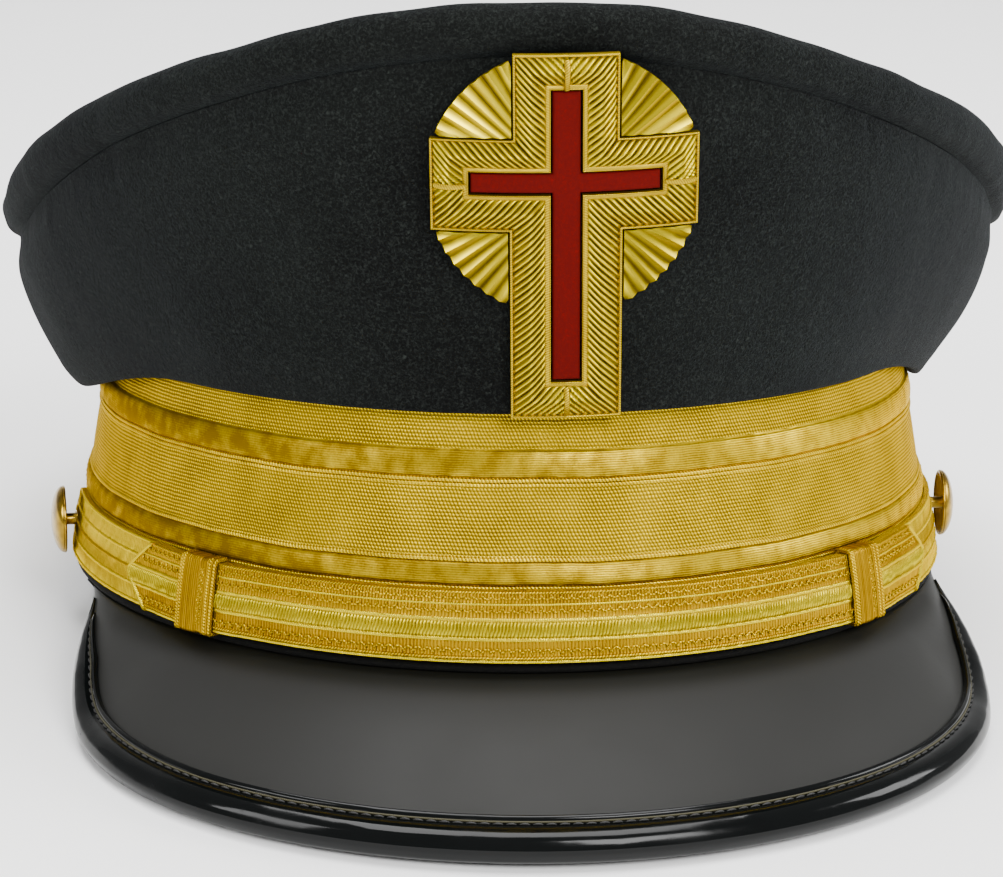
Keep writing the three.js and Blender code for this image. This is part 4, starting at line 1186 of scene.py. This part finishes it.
def keeper(name, node, middle):
    """A loop of lace round both straps, its ribs running round the loop."""
    across, proud, finish = woven_rows(KEEPER_WEAVES, KEEPER_KINDS)
    half = KEEPER_WIDTH / 2
    stack = KEEPER_WALL + 4 * LAYER_GAP + 2 * STRAP_THICKNESS + STRAP_RIDGE
    reach = STRAP_WIDTH / 2 + LAYER_GAP
    low, high = STRAP_HEIGHT - reach, STRAP_HEIGHT + reach
    back = LAYER_GAP + KEEPER_WALL
    corner = 2 * LAYER_GAP
    corners = ((stack - corner, low + corner, -90), (stack - corner, high - corner, 0),
               (back + corner, high - corner, 90), (back + corner, low + corner, 180))
    rows = []
    for i, (out, height, first) in enumerate(corners):
        turn = np.radians(np.linspace(first, first + 90, 7))
        rows += [(out, height, math.cos(a), math.sin(a)) for a in turn]
        after = corners[(i + 1) % 4]
        steps = 14 if i == 0 else 6
        for share in np.arange(1, steps) / steps:
            way = (math.cos(turn[-1]), math.sin(turn[-1]))
            rows.append((mix(out, after[0], share), mix(height, after[1], share), *way))
    out, height, way_out, way_up = np.array(rows).T[:, :, None]
    front = np.clip(way_out, 0, 1) * np.clip((out - back) / (stack - back), 0, 1)
    bulge = KEEPER_BULGE * front * (1 - ((height - STRAP_HEIGHT) / (high - low) * 2) ** 2)
    bow = KEEPER_BOW * front * np.cos((across - half) / half * math.pi / 2)
    radius = float(band_radius(middle))
    turn = middle + (across - half) / radius
    thick = corner + KEEPER_WALL + proud
    face = band(turn, out + way_out * thick + bulge + bow, height + way_up * thick)
    inside = band(middle + np.array([half, 0, -half]) / radius, out + way_out * corner + bulge,
                  height + way_up * corner)
    v = np.concatenate([across, [KEEPER_WIDTH + 1, KEEPER_WIDTH * 1.5, KEEPER_WIDTH * 2, 0]])
    loop = Stock()
    loop.grid(np.concatenate([face, inside], 1), way_along(face[:, 0], True), v,
              np.concatenate([finish, [0] * 3]), closed=True)
    count = int((high - low - 2 * KEEPER_WALL) / CHAIN_PITCH)
    t = np.linspace(0, count, count * 8 + 1)
    sway = np.abs((t % 1) - 0.5) * 2
    level = STRAP_HEIGHT + (t - count / 2) * CHAIN_PITCH
    swelled = KEEPER_BULGE * (1 - ((level - STRAP_HEIGHT) / (high - low) * 2) ** 2)
    proud_face = stack + KEEPER_WALL - 0.15 + swelled + KEEPER_BOW - 0.02
    for side in (-1, 1):
        at = CHAIN_ACROSS + side * (0.12 + 0.42 * sway)
        loop.cord(band(middle + (at - half) / radius, proud_face, level), CHAIN_THREAD, 6, 1)
    loop.made(name, "gold_strap", node, KEEPER, STRAP_CORD)


def side_button(name, node, side):
    """A domed button with a rolled rim, hollow behind, on its shank."""
    back, r, rolled = BUTTON_BACK, BUTTON_RADIUS, BUTTON_RIM
    dome = [(r * math.sin(a), back + rolled + (BUTTON_DOME - rolled) * math.cos(a))
            for a in np.radians(np.linspace(82, 0.6, 22))]
    rim = [(r - rolled + rolled * math.cos(a), back + rolled + rolled * math.sin(a))
           for a in np.radians(np.linspace(-150, 60, 12))]
    profile = [(0.04, 0), (SHANK_RADIUS * 0.9, 0), (SHANK_RADIUS * 0.8, 0.5),
               (SHANK_RADIUS * 0.8, back + 0.6), (SHANK_RADIUS, back + 1.1),
               (r * 0.45, back + 1.15), (r * 0.75, back + 0.8), (r * 0.9, back + 0.3)]
    radius, height = np.array(profile + rim + dome).T
    foot, tip = band(side * BUTTON_ANGLE, np.array([CLEAR, CLEAR + 1]), STRAP_HEIGHT)
    way = unit(tip - foot)
    up = unit(np.cross(way, (0, 0, 1)))
    aside = np.cross(way, up)
    turn = np.linspace(0, 2 * math.pi, 56, endpoint=False)
    ring = up * np.cos(turn)[:, None] + aside * np.sin(turn)[:, None]
    button = Stock()
    points = foot + way * height[:, None, None] + ring * radius[:, None, None]
    button.grid(points)
    button.made(name, "button_brass", node, BRASS)


front_strap()
under_strap()
keeper("keeper_right", "strap_keeper_right", KEEPER_RIGHT_ANGLE)
keeper("keeper_left", "strap_keeper_left", KEEPER_LEFT_ANGLE)
side_button("button_right", "side_button_right", 1)
side_button("button_left", "side_button_left", -1)


# Badge, in its own frame: x to the right, y up and z outwards from the middle of the crossbar

BADGE_LIFT = -0.1
BADGE_STAND_OFF = 0.5
PURL_PITCH = 1.27
PURL_RELIEF = 0.26
PURL_STEP = 0.17
TIE_POINTS = 9
CLOTH_SQUARE = 1.1
RAY_DEPTH = 1.2
RAY_GROOVE = 0.95
ROUND_STEPS = 60


def badge_seat():
    """The middle of the crossbar and how far the badge leans back, from the crown's front."""
    angle = np.arange(ROUND_STEPS) * 2 * math.pi / ROUND_STEPS
    rows, foot, way = wall_rows(angle)
    wall = swung(rows, foot, way)[:, 2:]
    base, head = wall[0, 0], wall[0, -1]
    lean = math.atan2(base[1] - head[1], head[2] - base[2])
    outward = np.array((0, -math.cos(lean), -math.sin(lean)))
    upward = np.array((0, -math.sin(lean), math.cos(lean)))
    near = wall[(wall[..., 1] < 0) & (np.abs(wall[..., 0]) < 0.7 * BADGE_WIDTH)]
    proud = (near - base) @ outward + near[:, 0] ** 2 / (2 * BADGE_BEND)
    middle = base + outward * (proud.max() + BADGE_STAND_OFF) + upward * (BADGE_LIFT + CROSS_DOWN)
    middle[0] = BADGE_SIDE_STEP
    return middle, outward, upward


BADGE_MIDDLE, BADGE_OUT, BADGE_UP = badge_seat()


def on_badge(x, y, z):
    """Places on the badge, bent round the crown's front and laid against it."""
    x, y, z = np.broadcast_arrays(x, y, z)
    turn = (x + BADGE_SIDE_STEP) / BADGE_BEND
    reach = BADGE_BEND + z
    x = reach * np.sin(turn) - BADGE_SIDE_STEP
    right = x * math.cos(BAR_ROLL) - y * math.sin(UPRIGHT_ROLL)
    up = x * math.sin(BAR_ROLL) + y * math.cos(UPRIGHT_ROLL)
    out = reach * np.cos(turn) - BADGE_BEND
    ways = ((right, np.array((1.0, 0, 0))), (up, BADGE_UP), (out, BADGE_OUT))
    return BADGE_MIDDLE + sum(amount[..., None] * way for amount, way in ways)


def cross_corners(upper, lower, bar, side, up, down):
    """A cross's outline from half the widths of its arms and how far they reach."""
    left = [(-upper, up), (-upper, bar), (-side, bar), (-side, -bar), (-lower, -bar),
            (-lower, -down)]
    return np.array(left + [(-x, y) for x, y in reversed(left)])


def inlay_corners(grow):
    """The red cross's outline, grown by a margin."""
    reaches = [reach - INLAY_MARGIN + grow for reach in (CROSS_SIDE, CROSS_UP, CROSS_DOWN)]
    arm = INLAY_WIDTH / 2 + grow
    return cross_corners(arm, arm, INLAY_BAR_HEIGHT / 2 + grow, *reaches)


def outline_steps(corners, step):
    """Which corner each step along the outline leaves, and its share of the way to the next."""
    lengths = np.linalg.norm(np.roll(corners, -1, 0) - corners, axis=1)
    leaves, shares = [], []
    for i, length in enumerate(lengths):
        count = max(2, int(length / step))
        leaves += [i] * count
        shares += list(np.arange(count) / count)
    return np.array(leaves), np.array(shares)


# Across the frame from its outer edge to the inlay: share of the way, height as a share of
# FRAME_DEPTH, how much of the purl's ribs it carries and its finish: 0 purl, 1 pale wire
FRAME_ROWS = np.array([
    (0.0, 0.0, 0, 1), (0.0, 0.42, 0, 1), (0.012, 0.5, 0, 1), (0.035, 0.53, 0, 1),
    (0.06, 0.5, 0, 1), (0.072, 0.4, 0, 0), (0.085, 0.34, 0, 0), (0.105, 0.4, 0.6, 0),
    (0.15, 0.5, 1, 0), (0.21, 0.6, 1, 0), (0.28, 0.7, 1, 0), (0.35, 0.8, 1, 0),
    (0.42, 0.9, 1, 0), (0.47, 0.95, 1, 0), (0.51, 0.965, 1, 0), (0.55, 0.95, 1, 0),
    (0.61, 0.88, 1, 0), (0.68, 0.78, 1, 0), (0.75, 0.68, 1, 0), (0.81, 0.6, 0.9, 0),
    (0.845, 0.54, 0.3, 0), (0.86, 0.5, 0, 1), (0.885, 0.56, 0, 1), (0.92, 0.57, 0, 1),
    (0.955, 0.57, 0, 1), (0.975, 0.62, 0, 1), (0.99, 0.6, 0, 1), (1.0, 0.5, 0, 1),
    (1.0, 0.0, 0, 1)])


def cross_frame():
    """Purl laid in slanting rows over a ridge, between a pale wire and a flat inner strip."""
    outer = cross_corners(UPPER_ARM_WIDTH / 2, ARM_WIDTH / 2, CROSSBAR_HEIGHT / 2, CROSS_SIDE,
                          CROSS_UP, CROSS_DOWN)
    inner = inlay_corners(CLEAR) + (0, INLAY_UP)
    leaves, shares = outline_steps(outer, PURL_STEP)
    after = (leaves + 1) % len(outer)
    rims = [mix(corners[leaves], corners[after], shares[:, None]) for corners in (outer, inner)]
    share, height, purl, finish = FRAME_ROWS.T
    x, y = np.moveaxis(mix(rims[0][:, None], rims[1][:, None], share[:, None]), 2, 0)
    slant = (np.abs(x) - np.abs(y)) / PURL_PITCH
    ribs = np.abs(np.cos(math.pi * slant)) * PURL_RELIEF * 2 - PURL_RELIEF * 1.4
    z = FRAME_DEPTH * height + purl * ribs
    bullion = Stock()
    u = np.pad(slant * PURL_PITCH, ((0, 1), (0, 1)), "wrap")
    v = np.concatenate([share * INLAY_MARGIN, [INLAY_MARGIN * 2]])
    bullion.grid(on_badge(x, y, z), u, v, finish.astype(int), closed=True)
    # A pale tie lies across the purl in the middle of each arm's end
    ends = ((0, CROSS_UP, 0, -1), (0, -CROSS_DOWN, 0, 1), (CROSS_SIDE, 0, -1, 0),
            (-CROSS_SIDE, 0, 1, 0))
    for x, y, right, up in ends:
        way = np.linspace(0.8, INLAY_MARGIN - 0.9, TIE_POINTS)
        arch = np.sin(np.linspace(0.25, math.pi - 0.25, TIE_POINTS))
        lift = FRAME_DEPTH * (0.5 + 0.5 * arch)
        path = on_badge(x + right * way, y + up * way, lift)
        bullion.cord(path, 0.5, 8, 1, squeeze=0.6, up=BADGE_OUT)
    bullion.made("cross_frame", "bullion_gold", "badge_frame", BULLION, BADGE_WIRE)


def cross_inlay():
    """A red cloth cross, soft at its edges, made from squares between the outline's lines."""
    soft = (0, 0.12, 0.3, 0.6, 1.0)
    outline = inlay_corners(0)

    def lines(values):
        """Where the cloth's squares meet: closest beside the outline's edges."""
        low, high = min(values), max(values)
        marks = {round(value, 4) for value in np.arange(low, high, CLOTH_SQUARE)}
        for value in values:
            marks |= {round(value + sign * inset, 4) for inset in soft for sign in (-1, 1)}
        ordered = [low]
        for mark in sorted(mark for mark in marks if low < mark <= high):
            if mark - ordered[-1] > 0.08:
                ordered.append(mark)
        return np.array(ordered)

    xs, ys = lines(outline[:, 0]), lines(outline[:, 1])
    x, y = np.meshgrid(xs, ys, indexing="ij")
    half_x, half_y = INLAY_WIDTH / 2, INLAY_BAR_HEIGHT / 2
    side, up, down = outline[:, 0].max(), outline[:, 1].max(), -outline[:, 1].min()
    in_upright = np.minimum(half_x - np.abs(x), np.minimum(up - y, down + y))
    in_bar = np.minimum(half_y - np.abs(y), side - np.abs(x))
    inset = np.clip(np.maximum(in_upright, in_bar), 0, 1)
    nap = 0.05 * np.sin(x * 5.1 + np.sin(y * 3.7)) * np.sin(y * 4.3 + np.sin(x * 2.9))
    z = INLAY_DEPTH * (0.62 + 0.38 * np.sqrt(1 - (1 - inset) ** 2)) + nap * inset
    middles = ((x[1:, 1:] + x[:-1, :-1]) / 2, (y[1:, 1:] + y[:-1, :-1]) / 2)
    upright = (np.abs(middles[0]) < half_x) & (middles[1] < up) & (middles[1] > -down)
    bar = (np.abs(middles[1]) < half_y) & (np.abs(middles[0]) < side)
    cloth = Stock()
    y = y + INLAY_UP
    cloth.plate(on_badge(x, y, z), on_badge(x, y, 0 * z), upright | bar)
    cloth.made("cross_inlay", "inlay_red", "badge_inlay", RED)


def ray_fan(name, node, right, up):
    """Rays like a folded fan in one corner of the cross, each cut straight at its end."""
    arm = UPPER_ARM_WIDTH if up > 0 else ARM_WIDTH
    left, low = arm / 2 + CLEAR, CROSSBAR_HEIGHT / 2 + CLEAR
    first = math.asin(low / (RAY_RADIUS - 1))
    last = math.acos(left / (RAY_RADIUS - 1))
    fold = np.linspace(0, RAYS_PER_FAN, RAYS_PER_FAN * 12 + 1)
    angle = mix(first, last, fold / RAYS_PER_FAN)
    inner = np.maximum(left / np.cos(angle), low / np.sin(angle))
    across = np.abs(fold % 1 - 0.5) * 2
    width = (last - first) / RAYS_PER_FAN
    straight = math.cos(width / 2) / np.cos((0.5 - (fold % 1)) * width)
    outer = np.minimum(RAY_RADIUS * straight, CROSS_SIDE / np.cos(angle))
    outer = np.maximum(outer, inner + 0.2)
    share = np.concatenate([[0], np.linspace(0, 1, 14), [1]])
    reach = mix(inner[:, None], outer[:, None], share)
    crest = RAY_DEPTH - RAY_GROOVE * across[:, None] * (0.4 + 0.6 * share)
    z = crest * np.concatenate([[0], np.ones(14), [0]])
    x, y = right * reach * np.cos(angle)[:, None], up * reach * np.sin(angle)[:, None]
    rays = Stock()
    rays.grid(on_badge(x, y, z), fold - 0.5, np.concatenate([reach[0], [60]]))
    rays.made(name, "bullion_gold", node, RAY_LEAF)


cross_frame()
cross_inlay()
for across, right in (("right", 1), ("left", -1)):
    for height, up in (("upper", 1), ("lower", -1)):
        ray_fan(f"rays_{height}_{across}", f"badge_rays_{height}_{across}", right, up)


# Studio

def studio():
    """A pale floor that curves up behind, and soft light from the front, above and one side."""
    x = np.linspace(-3000, 3000, 25)
    bend = np.radians(np.linspace(0, 90, 14))
    depth = np.concatenate([np.linspace(-3000, 1500, 20), 1500 + 900 * np.sin(bend[1:]), [2400]])
    height = np.concatenate([np.zeros(20), 900 * (1 - np.cos(bend[1:])), [3200]])
    mesh = bpy.data.meshes.new("studio_floor")
    columns = len(x)
    points = [(across / 1000, y / 1000, z / 1000) for y, z in zip(depth, height) for across in x]
    starts = [i * columns + k for i in range(len(depth) - 1) for k in range(columns - 1)]
    faces = [(i, i + 1, i + columns + 1, i + columns) for i in starts]
    mesh.from_pydata(points, [], faces)
    mesh.polygons.foreach_set("use_smooth", [True] * len(faces))
    paper, tree, shader, _, place = new_finish("pale paper", Roughness=0.9)
    tone = blend_colour(tree, noise(tree, place, 6.0), (0.9, 0.9, 0.9, 1), (0.93, 0.93, 0.925, 1))
    feed(tree, shader.inputs["Base Color"], tone)
    mesh.materials.append(paper)
    placed("studio_floor", mesh)
    lamps = (("front", (0.5, -1.3, 1.0), 0.7, 34), ("left", (-1.2, -0.7, 0.8), 0.6, 14),
             ("top", (0.0, 0.1, 1.5), 1.1, 46), ("right", (1.3, -0.1, 0.7), 0.6, 16))
    for name, place, size, power in lamps:
        lamp = bpy.data.lights.new(name, "AREA")
        lamp.size = size
        lamp.energy = power
        lit = placed(name, lamp)
        lit.location = place
        aim = Vector((0, 0, 0.06)) - lit.location
        lit.rotation_euler = aim.to_track_quat("-Z", "Y").to_euler()
    world = bpy.data.worlds.new("studio")
    world.use_nodes = True
    background = next(node for node in world.node_tree.nodes if node.type == "BACKGROUND")
    background.inputs["Color"].default_value = (1, 1, 1, 1)
    background.inputs["Strength"].default_value = 0.45
    bpy.context.scene.world = world


studio()
